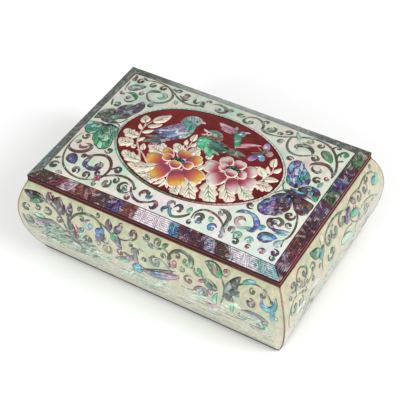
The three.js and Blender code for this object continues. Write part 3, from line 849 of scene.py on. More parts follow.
# Where the scrolls lie on the lid, in millimetres from its middle: tint, end tint, half width,
# disc at the end, points
LID_VINES = [
    ("grey", "brown", 0.62, 0, [(-70, -13.4), (-71.3, -18), (-71.3, -25), (-69.6, -32), (-65.6, -38.4),
     (-60, -42.4), (-53, -44.3), (-46.6, -43.6), (-41.4, -41.2)]),
    ("maroon", "brown", 0.95, 1.75, [(-40.2, -41.4), (-37.9, -36.6), (-37.6, -31.6), (-40.4, -27.2),
     (-45, -25), (-50, -25.9), (-54, -28.2), (-57.4, -29.3)]),
    ("brown", "olive", 0.75, 1.1, [(-38.6, -38.2), (-34, -35.6), (-29, -34), (-24, -34), (-20, -35.6),
     (-17.4, -38.2)]),
    ("plum", "maroon", 0.75, 0, [(-19.8, -37.8), (-17.8, -41), (-14.6, -43.4), (-10.5, -44.2),
     (-6.6, -42.8), (-3.4, -41.1)]),
    ("teal", "brown", 0.8, 0, [(7.2, -40.4), (8.2, -43.2), (10.4, -44.6), (13.6, -43.6), (16.6, -41.6),
     (18.6, -39.4)]),
    ("moss", "rosewood", 0.62, 1.1, [(20.4, -41.4), (20.8, -37.4), (23.4, -34.4), (27.6, -33.5),
     (32.4, -34.3), (36.6, -36.7), (39, -39.4)]),
    ("brown", "olive", 0.6, 0, [(66.4, -9.8), (69, -14), (70.9, -20), (71.1, -26.4), (69.6, -31),
     (70.6, -35)]),
    ("olive", "brown", 0.85, 0, [(29, 34.2), (33, 35.9), (37, 38.7), (42, 42), (47, 44.5), (52.6, 45.3),
     (58.4, 44), (63, 40.9), (66.6, 36.4), (69.2, 31.8), (70.9, 26.4), (70.9, 21.4)]),
    ("olive", "grey", 0.8, 0, [(37.6, 39.2), (37.8, 34), (39.6, 29.4), (43, 26.4), (47.2, 26.2), (51, 28.4),
     (54.6, 31.4)]),
    ("moss", "olive", 0.8, 0, [(7, 37), (7.6, 40.4), (9.4, 42.8), (12.6, 43.9), (16.4, 42.6), (19.4, 39.2),
     (20.4, 35.8), (22.6, 33.9), (26, 33.6), (29.4, 34.4)]),
    ("moss", "olive", 0.75, 0, [(-41.4, 40.4), (-37, 37), (-32.4, 34.7), (-27.4, 33.9), (-22.6, 34.9),
     (-18.8, 37.4)]),
    ("rosewood", "olive", 0.8, 0, [(-62.6, 43.9), (-57, 45.3), (-50.6, 44.9), (-46, 43), (-42.4, 40),
     (-39.9, 36), (-39.5, 31.6), (-41.4, 28.1), (-45, 26.1), (-49.6, 26.3), (-53, 28.7), (-55.6, 32.4)]),
    ("moss", "grey", 0.5, 0, [(-71.8, 39), (-71.2, 34.4), (-70, 30)]),
    ("moss", "olive", 0.6, 0, [(-71.4, 20), (-70.2, 16.8), (-68.6, 14.4)]),
    ("brown", "grey", 0.45, 0, [(53.8, 22.6), (55.6, 19.6), (59.6, 17), (62.4, 13), (63, 9.4)]),
    ("maroon", "brown", 0.6, 0, [(-37.2, -32.6), (-35.4, -31), (-33.6, -29.8)]),
    ("olive", "olive", 0.6, 0, [(68.4, 34.4), (69.4, 35.9), (70.8, 36.9)]),
    ("olive", "moss", 0.6, 0, [(62.4, 41.6), (61.4, 43.4), (62, 45.4)]),
    ("moss", "moss", 0.6, 0, [(66.8, 37), (66, 40), (67.4, 43)]),
]
# Fat strokes: tint, end tint, half width, points
LID_CRESCENTS = [
    ("rosewood", "indigo", 1.6, [(-51.4, -26.6), (-53.4, -30.4), (-53.2, -34.6), (-49.6, -36.4)]),
    ("indigo", "maroon", 1.6, [(-54, -32.6), (-51.4, -35.4), (-47.6, -36), (-44.2, -34.2), (-43.6, -31.4),
     (-46.2, -29.8)]),
    ("maroon", "rosewood", 1.35, [(-71.4, -23.6), (-69.4, -27), (-64.4, -28.1), (-59.6, -26.4),
     (-57, -22.8), (-59.4, -20.4), (-62.6, -20.6)]),
    ("rose", "maroon", 1.1, [(-65.6, -21.8), (-63.6, -24), (-60.6, -23.2), (-59.2, -20.8)]),
    ("moss", "brown", 1.0, [(-21.6, -37.4), (-24.4, -37), (-26.4, -39.4), (-25.2, -42.2), (-21.6, -42.8),
     (-18.6, -40.6)]),
    ("emerald", "teal", 0.9, [(-24.6, -42.4), (-22.4, -41), (-20.2, -40.6)]),
    ("maroon", "rosewood", 1.2, [(-7.6, -40.8), (-8.4, -37.8), (-11, -37.4), (-12.8, -39.4),
     (-11.8, -41.4)]),
    ("plum", "brown", 1.35, [(-4.6, -40.8), (-2.2, -40.9), (-0.9, -42.8), (-2.2, -44.8), (-4.4, -44.3)]),
    ("slate", "grey", 1.0, [(8.6, -41), (6, -40.4), (5, -38), (7.2, -36.8), (9, -38.6)]),
    ("slate", "moss", 1.1, [(8.4, -40), (10.4, -37.4), (12.6, -38), (12.8, -40.4), (10.8, -40.9)]),
    ("indigo", "slate", 1.1, [(8, -41.2), (5.2, -41), (3.4, -42.8), (4.4, -44.8)]),
    ("sky", "teal", 1.0, [(6.6, -40.2), (7.6, -42.6), (9.6, -44.4)]),
    ("grey", "moss", 1.3, [(31, -29.9), (35, -29.7), (38.4, -32.2), (38.6, -36.4), (38.4, -40)]),
    ("moss", "sky", 1.1, [(39.6, -27.8), (41.8, -25.6), (45.6, -24.4), (49, -24.8)]),
    ("sky", "indigo", 1.75, [(44.6, -24.4), (48.6, -24.6), (51.8, -27), (53.6, -30.2), (52.4, -33.8),
     (49.6, -34.6)]),
    ("rosewood", "blush", 1.2, [(47.4, -30), (44.8, -28.9), (42.4, -31), (43.6, -33.6), (46.4, -33.2)]),
    ("mint", "emerald", 0.8, [(43.4, -35.6), (46.6, -34.9), (50, -33), (52.6, -31.6)]),
    ("sky", "plum", 1.2, [(70.2, -24), (66.6, -25.8), (62.6, -27.2), (59.4, -25.6)]),
    ("plum", "maroon", 1.7, [(63.6, -27.2), (59.6, -26), (57.6, -23), (58.8, -20.4)]),
    ("brown", "grey", 1.1, [(58.4, -21.4), (61, -19.4), (63.8, -20.6), (63.4, -23.4), (60.9, -23.6)]),
    ("mint", "sky", 0.6, [(70.4, -26), (67, -27.7), (63, -29.2)]),
    ("brown", "moss", 1.0, [(-27, 42.4), (-26.4, 38.8), (-24.4, 37.2), (-22.9, 40.4)]),
    ("moss", "olive", 1.35, [(-23, 41), (-21.2, 40), (-20.2, 36.6), (-18, 35.6)]),
    ("olive", "brown", 1.3, [(-16.4, 41.6), (-12.4, 43.6), (-8, 42.8), (-5.6, 39.8), (-6.8, 36.7),
     (-10.4, 36.6), (-12, 38.8)]),
    ("moss", "olive", 1.2, [(7.4, 41), (7.4, 37.6), (9.8, 35.9), (12.6, 37.2), (12.4, 39.8)]),
    ("emerald", "moss", 1.1, [(20.8, 36), (23, 35.6), (26.4, 37), (26.8, 40.4), (24.2, 41.4)]),
    ("moss", "olive", 1.7, [(54.2, 30.8), (53, 34.4), (49.4, 36.4), (45.4, 35.2), (43.6, 32.6),
     (45.4, 30.8)]),
    ("teal", "mint", 1.1, [(37.6, 45.6), (39.6, 42.8), (41.4, 39.8), (43, 38.6)]),
    ("brown", "rosewood", 1.2, [(70.8, 21.8), (69.2, 26), (65.2, 28.8), (60.8, 27.8), (57.6, 24.8),
     (57, 22.8)]),
    ("slate", "moss", 1.0, [(58.6, 24), (59.6, 21.2), (62.6, 20.6), (64, 22.8), (62.6, 24.6)]),
    ("olive", "moss", 1.4, [(-55.4, 31.6), (-54.2, 35.2), (-50.4, 36.7), (-46.6, 36.4)]),
    ("mint", "emerald", 1.5, [(-49.6, 36.6), (-46, 36.4), (-43.6, 33.8), (-45, 31.2), (-47.6, 31)]),
    ("emerald", "moss", 1.4, [(-67.6, 28), (-63.4, 28.7), (-59.6, 26.6), (-57.4, 23.2)]),
    ("grey", "brown", 0.9, [(-65.4, 22.4), (-62.6, 20.6), (-59.4, 21.4), (-58, 23.6)]),
    ("rosewood", "brown", 1.1, [(-71.4, 29), (-70, 26.6), (-67, 26.4)]),
    ("rosewood", "maroon", 1.0, [(-72, 46), (-70.6, 43.4), (-71.6, 41.2)]),
    ("brown", "olive", 0.9, [(-66.6, 45.6), (-64.6, 44.6), (-62.4, 43.4)]),
    ("grey", "rosewood", 1.0, [(-37.4, 39.6), (-33.4, 37.6), (-31, 34.6)]),
    ("rose", "magenta", 1.5, [(-42.8, -42.6), (-40.8, -40.6), (-39.4, -37.6)]),
    ("magenta", "rose", 1.2, [(-43.4, -39.6), (-41, -39.6), (-38.4, -41.6)]),
]
# Curls: x, y, radius, start in degrees, hand, tint
LID_CURLS = [
    (-55.6, -40.2, 2.5, 320, 1, "brown"), (-48.2, -40.9, 2.4, 310, 1, "brown"),
    (-42.8, -37.6, 1.8, 300, 1, "maroon"), (-40.4, -44.2, 1.5, 90, 1, "grey"),
    (-65.8, -15, 2.4, 170, 1, "brown"), (-67.6, -20.6, 1.9, 200, -1, "grey"),
    (-46, -20.8, 2.3, 190, 1, "moss"), (-69.6, -41.4, 2.8, 40, 1, "moss"),
    (-33, -31.4, 2.4, 150, -1, "slate"), (-34, -41.2, 2.8, 70, -1, "moss"),
    (-30, -37.6, 2, 100, -1, "moss"), (-18.2, -44.2, 1.9, 100, 1, "maroon"),
    (33, -31.6, 1.9, 100, -1, "grey"), (24.4, -39.2, 2.8, 220, -1, "moss"),
    (33.2, -41.6, 2.5, 20, 1, "sky"), (20.6, -43.8, 1.5, 70, 1, "plum"), (40.2, -43.9, 1.4, 90, 1, "brown"),
    (65, -14.8, 2.8, 40, -1, "brown"), (67.6, -20.6, 2, 330, -1, "moss"),
    (44.4, -20, 2.1, 330, -1, "brown"), (42.8, -38.2, 2.1, 300, 1, "grey"),
    (47.8, -39.6, 2.4, 250, -1, "mint"), (54.4, -39.4, 2.2, 210, -1, "mint"),
    (48.2, -43.4, 2, 160, -1, "moss"), (55.6, -43.2, 1.5, 30, 1, "rose"), (63.2, -42.2, 2, 200, -1, "rose"),
    (69.4, -39.8, 2.3, 120, -1, "plum"), (70.2, -43.4, 1.7, 140, 1, "teal"),
    (56.6, 29.8, 2.5, 120, -1, "moss"), (48, 41.2, 2.1, 110, -1, "sand"),
    (54.6, 41.3, 2.1, 60, -1, "olive"), (63.8, 45, 1.7, 190, -1, "olive"),
    (69.2, 41.8, 2.7, 250, -1, "emerald"), (34, 42, 2.5, 250, 1, "moss"), (31, 37.9, 1.7, 250, -1, "moss"),
    (34.4, 31.6, 2.1, 20, 1, "grey"), (65.4, 15.4, 2.4, 60, 1, "brown"), (69.4, 19.4, 1.6, 100, 1, "rose"),
    (45.6, 21.6, 2, 20, 1, "slate"), (-65.8, 41.6, 2.4, 90, 1, "brown"), (-70.2, 41.4, 1.7, 90, 1, "moss"),
    (-56.6, 41.2, 2.3, 90, 1, "olive"), (-49.4, 41.4, 2.5, 70, 1, "brown"),
    (-58, 30.8, 1.9, 90, 1, "olive"), (-63.2, 24.2, 1.7, 100, 1, "brown"), (-66, 16, 2.4, 160, -1, "moss"),
    (-46.2, 22.4, 2, 60, 1, "slate"), (-40.2, 43.6, 2.1, 250, 1, "olive"),
    (-33.6, 41.8, 2.3, 230, 1, "brown"), (-31.4, 37.4, 1.7, 40, 1, "brown"),
    (-18.6, 43, 1.8, 250, -1, "olive"), (-4, 42, 1.9, 210, 1, "grey"), (3.4, 41.2, 2.5, 20, -1, "olive"),
    (19.2, 43.4, 1.8, 250, -1, "moss"), (-45.8, -33, 1.9, 250, 1, "maroon"), (24.4, 37.8, 2, 60, 1, "moss"),
    (11.6, 38, 1.3, 40, 1, "olive"), (-10, 38.8, 1.5, 200, 1, "olive"), (60.6, -23, 1.5, 60, 1, "plum"),
    (-23, -39.8, 1.5, 0, 1, "moss"),
]
# Leaves: base, tip, half width, tint, end tint, bend
LID_LEAVES = [
    ((-66.6, -31.2), (-58.6, -36.6), 3.4, "slate", "indigo", 0.03),
    ((-65.4, -32), (-59.8, -35.8), 2.2, "indigo", "violet", 0.0),
    ((-72.4, -37.2), (-69.4, -35), 1.0, "moss", "grey", 0.1),
    ((-66, -45.4), (-61, -45.6), 1.0, "blush", "olive", 0.1),
    ((-8.4, -41.2), (-7.9, -36.4), 0.95, "teal", "ink", 0),
    ((-7.6, -41.2), (-5.4, -37.8), 1.0, "indigo", "violet", 0),
    ((17.2, -39.6), (17.8, -35.4), 1.5, "mint", "emerald", 0.0),
    ((29.2, -38.4), (31.8, -36.2), 1.7, "mint", "emerald", 0),
    ((23, -41.8), (27, -41), 1.2, "sky", "indigo", -0.1),
    ((38.6, -40.2), (40.6, -43), 1.4, "sky", "teal", 0),
    ((38.2, -40.6), (39.6, -35.2), 1.2, "moss", "emerald", 0),
    ((54.6, -30.6), (57.8, -27.6), 1.8, "sky", "teal", 0),
    ((57, -36.2), (66.4, -31.2), 3.5, "indigo", "sky", 0.05),
    ((59, -35.2), (64.8, -32.4), 2.1, "mist", "sky", 0.05),
    ((67.6, -36.4), (69.6, -31), 2.0, "mist", "mint", 0.05),
    ((57.2, 38.4), (66, 31.6), 3.0, "olive", "emerald", 0.03),
    ((58.8, 37.2), (64.8, 32.6), 1.7, "grey", "mint", 0.0),
    ((-69.6, 32.6), (-59.6, 38.2), 3.3, "grey", "moss", -0.05),
    ((-67.6, 33.6), (-61.6, 37), 2.0, "mint", "emerald", 0),
    ((-52.2, 17), (-51.6, 24), 2.0, "brown", "rosewood", 0.1),
    ((68.2, 11), (69, 16.2), 1.2, "teal", "mint", 0.05),
    ((-36.6, 33.4), (-33.8, 29.6), 1.3, "mint", "emerald", 0.1),
    ((44.6, 38.2), (49.6, 37.9), 1.0, "mint", "sand", 0.1),
    ((-44.6, 43.8), (-41, 41.6), 0.9, "olive", "moss", 0.1),
]


def lid_scrolls():
    """The field's scrolls, leaves and two large butterflies."""
    plates = Plates(lay_on_lid)
    for tint, end_tint, half_width, disc, points in LID_VINES:
        vine(plates, points, half_width, tint, end_tint, disc)
    strokes(plates, LID_CRESCENTS)
    curls(plates, LID_CURLS)
    leaves(plates, LID_LEAVES)
    large_butterflies(plates)
    return plates


# One half of a petal, with its length and its half width as one, and how wide its pale outline is
PETAL = [(0.0, 0.3), (0.2, 0.78), (0.48, 1.0), (0.78, 0.95), (0.96, 0.6), (1.0, 0.26), (0.95, 0.0)]
PETAL_RIM = 0.62


def petal(plates, base, tip, half_width, tints, level):
    """One petal of a peony: a pale outline plate with a shaded plate on it."""
    base, tip = np.asarray(base, float), np.asarray(tip, float)
    run = tip - base
    length, turn = math.hypot(*run), math.atan2(run[1], run[0])
    for inset, row, lift, outlined in ((0, ["linen"], 0, 0.93), (PETAL_RIM, tints, 1, 0.5)):
        plates.outlined = outlined
        half = np.array(PETAL, float) * (length - 2 * inset, half_width - inset) + (inset, 0)
        shape = closed_line(np.vstack([half, half[-2::-1] * (1, -1)]), 4)
        plates.patch(placed(shape, base, turn), row, (base + 0.12 * run, base + 0.96 * run), level + lift)
    plates.outlined = 1.0


# Petals of the two peonies, in millimetres from the flower's middle: base, tip, half width, level
ORANGE_PETALS = [
    ((0.5, 2.6), (0.5, 9.8), 4.7, 1), ((3.6, 1.6), (11.8, 7.4), 4.3, 1),
    ((-4.2, 2.0), (-12.4, 5.4), 3.0, 1), ((-4.6, -2.2), (-18.4, -3.6), 4.5, 1),
    ((5.2, -2.8), (19.4, -5.6), 4.8, 1), ((-1.2, -4.6), (-9.6, -14.8), 5.3, 1),
    ((1.8, -4.6), (8.6, -15.4), 5.4, 1), ((-3.2, 0.4), (-9.8, 0.8), 2.9, 3),
    ((3.4, 0.2), (9.6, 0.2), 2.9, 3),
]
ROSE_PETALS = [
    ((1.0, 1.8), (1.0, 8.8), 3.7, 1), ((-3.2, 1.2), (-9.0, 6.8), 3.9, 1), ((4.4, 1.6), (11.8, 6.0), 4.1, 1),
    ((-5.0, -3.2), (-16.2, -3.2), 4.6, 1), ((5.2, -3.0), (16.0, -4.8), 4.9, 1),
    ((-0.8, -4.8), (-9.6, -13.2), 5.0, 1), ((1.4, -4.8), (9.2, -13.2), 5.0, 1),
    ((-2.4, -1.6), (-8.0, 0.6), 2.8, 3), ((3.0, -1.6), (8.2, 0.4), 2.9, 3),
]

# The dark heart of a peony and the stamens on it
HEART = np.array([(-4.2, -0.4), (-3.4, 1.8), (0, 3.2), (3.4, 1.8), (4.2, -0.4), (0, -1.4)])
STAMENS = np.array([(-2.6, 1.0), (-1.0, 2.0), (1.2, 2.0), (2.8, 0.8)])


def peony(plates, centre, petals, tints):
    """A peony that looks a little towards the front, with a dark heart behind its nearest petal."""
    centre = np.asarray(centre, float)
    for base, tip, half_width, level in petals:
        petal(plates, centre + base, centre + tip, half_width, tints, level)
    plates.outlined = 0.4
    plates.patch(closed_line(HEART + centre), ["ink"], level=5, rings=2)
    for spot in STAMENS:
        plates.patch(oval(centre + spot, 0.42, count=8), ["emerald"], level=6, rings=1)
    petal(plates, centre - (0, 5.4), centre + (0, 0.4), 3.7, tints, 6)


# The oval picture's stems, and its leaves, plain and toothed: base, tip, half width, bend
PICTURE_STEMS = [
    [(-26, -19.6), (-29.6, -14.6), (-34.6, -9), (-37, -3), (-38.2, 3), (-37.4, 8), (-36, 11)],
    [(-38.2, 3.4), (-39, 6), (-40.6, 8.4)], [(39.4, -4.6), (41.4, -0.6), (42.4, 4), (42.4, 8), (41.2, 11)],
    [(42.4, 4.6), (43.2, 6.4), (44.2, 8.4)], [(-6, -4), (-6.2, 1), (-6.8, 4.8)],
    [(-6.1, -1), (-7.6, 0), (-8.4, 1.2)], [(-6.1, -0.6), (-5.2, 0.6), (-4.8, 1.6)],
    [(-19, -21.4), (-24, -17.6), (-28.6, -14.4), (-31.6, -14.2)], [(10.4, -6), (11.8, -3.6), (9.6, -3)],
]
PLAIN_LEAVES = [
    ((-36.6, 9.6), (-29.6, 19.2), 3.4, -0.08), ((-39.4, 7), (-42.8, 13.0), 3.0, 0.05),
    ((-36.8, 4.8), (-29.6, 9.8), 1.8, -0.1), ((-38.2, 1.2), (-42, 5.2), 1.2, 0.1),
    ((-36.8, -0.8), (-31.4, 3.6), 1.6, -0.1), ((-34.6, -8.6), (-32.2, -4.2), 1.4, 0.1),
    ((41.8, 9.8), (39.8, 17.0), 2.2, 0.1), ((43.2, 6.6), (45.6, 12.0), 1.5, -0.1),
    ((42.2, 4.6), (38.8, 9.2), 1.3, 0.1), ((41.6, -1.2), (49, 2.8), 2.1, 0.05),
    ((41.4, -1), (32.8, 4.8), 1.6, -0.28), ((40, 0.6), (35.4, 6.8), 1.0, 0.2),
    ((-6.8, 4.2), (-7.2, 11.0), 2.0, 0.05), ((-7.8, 0.4), (-9.8, 4.4), 1.4, 0.1),
    ((-5.2, 0.6), (-4.0, 5.4), 1.3, -0.1), ((7.2, -3.8), (9.6, 0.6), 1.9, 0.05),
    ((2.4, -5), (1.8, -0.2), 1.3, 0.1), ((7.4, -13), (9.8, -8.8), 1.7, 0.1),
    ((-6, -25.4), (-10, -31.6), 1.2, 0.15), ((-4.8, -26), (-6, -32.2), 1.1, 0.1),
    ((-3.4, -25.6), (-1, -30.8), 1.3, -0.1), ((-27.6, -13), (-30.4, -8.4), 1.9, 0.1),
    ((-33, -12.4), (-36.6, -12), 1.7, 0.1),
]
TOOTHED_LEAVES = [
    ((-36.4, -4.4), (-47.6, -1.8), 3.5, 0.1), ((-36, -10), (-47.2, -10.8), 3.9, 0.08),
    ((-24.6, -20.4), (-38.6, -17.4), 3.6, 0.1), ((-16.4, -10.4), (-27.2, -6.6), 3.7, 0.1),
    ((-16.4, -7.6), (-20.8, -3.8), 2.0, 0.1), ((-15, -20.6), (-31, -25.2), 3.8, 0.1),
    ((-12.6, -22.8), (-25.4, -29.8), 3.6, 0.1), ((-10, -25.4), (-17.4, -32), 3.3, 0.1),
    ((-5, -5.4), (-14, -0.8), 3.6, 0.1), ((-3.6, -5), (-0.8, 3.4), 3.1, -0.1),
    ((1.4, -25), (3.8, -34.4), 3.7, 0.08), ((6.6, -20), (15.6, -32.8), 5.0, -0.06),
    ((17, -17), (26.2, -30), 5.2, -0.06), ((25.6, -14), (35.4, -23.4), 4.8, -0.08),
    ((33, -11.4), (44, -17), 4.2, -0.08), ((38.6, -6.6), (49, -5.2), 3.7, 0.08),
]
# The birds: outlines with their tints, from the first point of an axis to the last, and a level
BIRD_SHAPES = [
    ([(-10.6, 21.6), (-12.6, 24.4), (-16.6, 25.2), (-20.4, 23), (-21.8, 19), (-20.8, 15.4), (-23.6, 11),
     (-27.4, 6.2), (-24.4, 3.4), (-18, 2.6), (-13.2, 3.6), (-10.8, 7.4), (-10.4, 12), (-11.4, 16.6)],
     ("celadon", "mint", "steel", "teal", "steel", "mint", "mist"), ((-13, 25), (-16, 3)), 2),
    ([(-20.6, 15.4), (-17, 13.4), (-14.8, 9), (-16.4, 5.4), (-21, 4), (-27, 2), (-31.4, 2.4), (-28, 7.4),
     (-24, 11.8)], ("lilac", "violet", "slate", "indigo"), ((-17, 14), (-30, 2)), 3),
    ([(-4.8, 9.6), (-4.8, 5.4), (-1.6, 2.2), (4, 1), (9.4, 2.4), (13.4, 5), (13.8, 8.2), (10, 11.4),
     (5, 12.6), (0, 13.2), (-3.2, 12.2)], ("jade", "jade", "moss", "olive"), ((-4, 5), (13, 10)), 2),
    ([(-3.8, 15.4), (-2.4, 18), (1, 19.2), (5.2, 17.8), (7, 14.4), (5.8, 11.2), (1.4, 10.2), (-2.8, 12)],
     ("emerald", "olive", "rosewood"), ((-2, 18), (5, 11)), 3),
    ([(11.8, 24.4), (13, 26.8), (15.4, 26.4), (16, 24), (14.6, 22)], ("steel", "teal"), ((15, 26),
     (13, 22)), 4),
    ([(31, 18.6), (29, 20.6), (28.7, 23.6), (29.9, 26.4), (31.6, 24.8), (33, 21.8), (32.6, 19.4)],
     ("maroon", "orchid", "violet"), ((31, 18.6), (30, 26)), 2),
    ([(31.9, 17.4), (33.4, 19.8), (35.4, 20.2), (36.9, 18.2), (35.6, 15.6), (33.6, 15.8)], ("maroon",
     "shell_pink"), ((32, 17), (37, 18)), 2),
    ([(30.4, 15.2), (28.6, 13.6), (26.8, 10.6), (26.6, 7.8), (28.6, 7.2), (30.6, 9.8), (31.2, 13)],
     ("indigo", "violet", "orchid"), ((31, 15), (27, 7)), 3),
    ([(31.2, 15), (33.4, 14.6), (35, 12.4), (34, 10.4), (32, 10.6), (31.2, 12.8)], ("mist", "sky",
     "indigo"), ((31, 15), (35, 11)), 2),
    ([(-3.6, 15), (-2.2, 16.4), (-0.2, 15.6), (-0.4, 13.6), (-2.6, 13)], ("blush",), None, 5),
]
# Which of them are covered in small feathers, and where those point, in degrees
BIRD_BODIES = {0: -110, 3: -30}
# Their long feathers: base, tip, half width, tint, end tint, level
BIRD_FEATHERS = [
    ((-19.6, 20.6), (-14, 9), 1.5, "teal", "steel", 3), ((-17.4, 20), (-12.6, 11.4), 0.8, "ink", "teal", 4),
    ((-19, 5), (-34, -2.6), 1.7, "slate", "grey", 1), ((-19, 4), (-33, -7.4), 1.9, "plum", "olive", 1),
    ((-20, 3), (-27.4, -8.4), 1.9, "slate", "plum", 1), ((-17.4, 12), (-29.6, 4), 1.3, "lilac", "mist", 4),
    ((-16.4, 9.6), (-28.4, 1.6), 1.4, "sky", "indigo", 4),
    ((-15.4, 7.6), (-24.8, 0.2), 1.4, "mist", "indigo", 4),
    ((-14.6, 5.6), (-21, -1.6), 1.4, "indigo", "plum", 4),
    ((-12.8, 9.4), (-19.6, 6.6), 1.2, "mist", "white", 5),
    ((-12.2, 18), (-14, 9.6), 0.8, "teal", "moss", 4),
    ((-15.6, 19.4), (-16.4, 11), 0.9, "steel", "teal", 4),
    ((-11.4, 21.8), (-8.2, 21.6), 0.9, "linen", "linen", 4),
    ((10, 7), (25.2, 8.8), 2.0, "olive", "grey", 1), ((10, 6), (23.6, 6.2), 1.5, "moss", "olive", 1),
    ((1.4, 4.4), (9, -2.4), 2.4, "jade", "jade", 3), ((5, 3.4), (12, 2), 1.3, "emerald", "mint", 3),
    ((2.2, 10), (15, 8.6), 1.7, "moss", "ink", 4), ((1.8, 8.4), (13.8, 5.8), 1.6, "teal", "moss", 4),
    ((1.6, 6.6), (11.8, 3.8), 1.4, "olive", "moss", 4),
    ((-3, 15.8), (-6.6, 17.2), 0.9, "blush", "blush", 5), ((-3, 13.4), (-5.8, 12), 0.8, "blush", "rose", 5),
    ((10.8, 24), (16.8, 11.4), 2.2, "teal", "emerald", 2),
    ((11, 24.2), (-2.4, 27), 2.5, "slate", "blush", 3), ((9.6, 25.2), (0.4, 25.4), 1.1, "rose", "rose", 4),
    ((10.8, 22.8), (0.6, 22.8), 1.5, "slate", "rose", 2), ((9.8, 24.8), (8.4, 29), 1.2, "slate", "mist", 4),
    ((15.8, 13), (28.4, 21.6), 1.3, "rose", "blush", 1),
    ((16.2, 12.4), (24, 16.8), 0.9, "blush", "rose", 1),
    ((14.6, 26.4), (17.6, 27.6), 0.6, "linen", "linen", 5),
    ((31.4, 19), (30.4, 14), 0.8, "emerald", "moss", 4),
    ((30.6, 17.6), (26.4, 19.8), 0.25, "rose", "blush", 3),
    ((30.2, 16.4), (25.2, 13), 0.25, "grey", "olive", 3),
]
BIRD_GLINTS = [
    (-17, 6.5), (-26.6, 2.8), (-13.4, 9.4), (-14.6, 4.8), (-19, 8), (13.4, 23.6), (-3.2, 7.6), (31, 13.2),
    (30.6, 21.6),
]
BIRD_EYES = [(-13.3, 20.9, 0.8), (-1.9, 14.7, 0.75), (14.7, 25.2, 0.5)]


def is_inside(outline, spot):
    """Whether a spot lies inside a closed outline, by the edges that a line to its right crosses."""
    (x, y), (x1, y1), (x2, y2) = spot, outline.T, np.roll(outline, -1, 0).T
    slope = (x2 - x1) / np.where(y2 == y1, 1, y2 - y1)
    return np.sum(((y1 > y) != (y2 > y)) & (x < x1 + slope * (y - y1))) % 2 == 1


def feather_arcs(plates, outline, turn, dice):
    """Rows of small arcs inside a bird's outline, like the edges of feathers."""
    low, high = outline.min(0), outline.max(0)
    angles = np.radians(turn + np.linspace(-60, 60, 6))
    arc = np.stack([np.cos(angles), np.sin(angles)], 1) * FEATHER_PITCH * 0.55
    for row, y in enumerate(np.arange(low[1], high[1], FEATHER_PITCH * 0.75)):
        for x in np.arange(low[0] + row % 2 * FEATHER_PITCH / 2, high[0], FEATHER_PITCH):
            if is_inside(outline, (x, y)):
                tint = dice.choice(("ink", "ink", "slate", "mist"))
                plates.ribbon(arc + (x, y), np.full(6, 0.18), tint, level=3, columns=1)


def lay_in_oval(drawn, proud):
    """Lays the picture's plates on its ground, trimmed along the ring."""
    drawn = np.asarray(drawn, float)
    inside = (OVAL_LENGTH / MM - PICTURE_INSET, OVAL_DEPTH / MM - PICTURE_INSET)
    return lay_on_lid(drawn / np.maximum(np.linalg.norm(drawn / inside, axis=1), 1)[:, None], proud)


def oval_flowers():
    """Two peonies with leaf sprays."""
    plates = Plates(lay_in_oval)
    for points in PICTURE_STEMS:
        line = smooth_line(points)
        plates.ribbon(line, np.linspace(0.5, 0.3, len(line)), "shell_pink")
    for number, (base, tip, half_width, bend) in enumerate(TOOTHED_LEAVES):
        end_tint = ("celadon", "linen")[number % 2]
        level = number % 3
        half_width *= 1.2
        leaf(plates, base, tip, half_width, "celadon", end_tint, bend, teeth=3, level=level, vein="bark")
    for number, (base, tip, half_width, bend) in enumerate(PLAIN_LEAVES):
        level, vein = 2 + number % 2, "bark" if half_width > 1.6 else None
        leaf(plates, base, tip, half_width, "celadon", "linen", bend, level=level, vein=vein)
    peony(plates, (24.5, -4), ROSE_PETALS, ("wine", "wine", "rose", "dusk", "dove", "dove"))
    peony(plates, (-5.5, -12.8), ORANGE_PETALS, ("magenta", "magenta", "ember", "orange", "gold", "gold"))
    return plates


def oval_birds():
    """Two perched birds, one on the wing and a butterfly."""
    plates = Plates(lay_in_oval)
    dice = random.Random("birds")
    for number, (outline, tints, axis, level) in enumerate(BIRD_SHAPES):
        plates.outlined = 0.66
        outline = closed_line(outline)
        plates.patch(outline, tints, axis, level)
        if number in BIRD_BODIES:
            feather_arcs(plates, outline, BIRD_BODIES[number], dice)
    plates.outlined = 0.8
    for base, tip, half_width, tint, end_tint, level in BIRD_FEATHERS:
        leaf(plates, base, tip, half_width, tint, end_tint, 0.06, level=level)
    plates.outlined = 0.5
    for x, y in BIRD_GLINTS:
        plates.patch(oval((x, y), 0.9, 0.5, 0.6, count=10), ["white"], level=6, rings=1)
    for x, y, radius in BIRD_EYES:
        plates.patch(oval((x, y), radius, count=10), ["ink"], level=7, rings=1)
    return plates


def crowned_sheet(name, inner, outer, rows, closed_ends, material):
    """A sheet of the inlays' thickness that follows the lid's face, from one loop of places to another."""
    shares = np.linspace(0, 1, rows)
    rings = []
    for level, steps in ((0.0, shares), (-INLAY, shares[::-1])):
        rings += [on_face(inner + (outer - inner) * share, level) for share in steps]
    return ringed_piece(name, rings, closed_ends, material)


def lid_field(material):
    """The pearl field, from the ring round the picture out to the border, with a place at each corner."""
    half = np.array([HALF_LENGTH, HALF_DEPTH]) - BORDER_WIDTH - GLUE_GAP
    angles = np.arange(FIELD_POINTS) / FIELD_POINTS * FULL_TURN
    for sign_x, sign_y in CORNERS:
        corner = math.atan2(sign_y * half[1], sign_x * half[0]) % FULL_TURN
        angles[np.argmin(abs(angles - corner))] = corner
    ray = np.stack([np.cos(angles), np.sin(angles)], 1)
    outer = ray * np.min(half / np.maximum(abs(ray), SMALL), axis=1, keepdims=True)
    hole = np.array([OVAL_LENGTH, OVAL_DEPTH]) + GLUE_GAP
    inner = ray / np.linalg.norm(ray / hole, axis=1, keepdims=True)
    return crowned_sheet("lid_field", inner, outer, FIELD_ROWS, False, material)


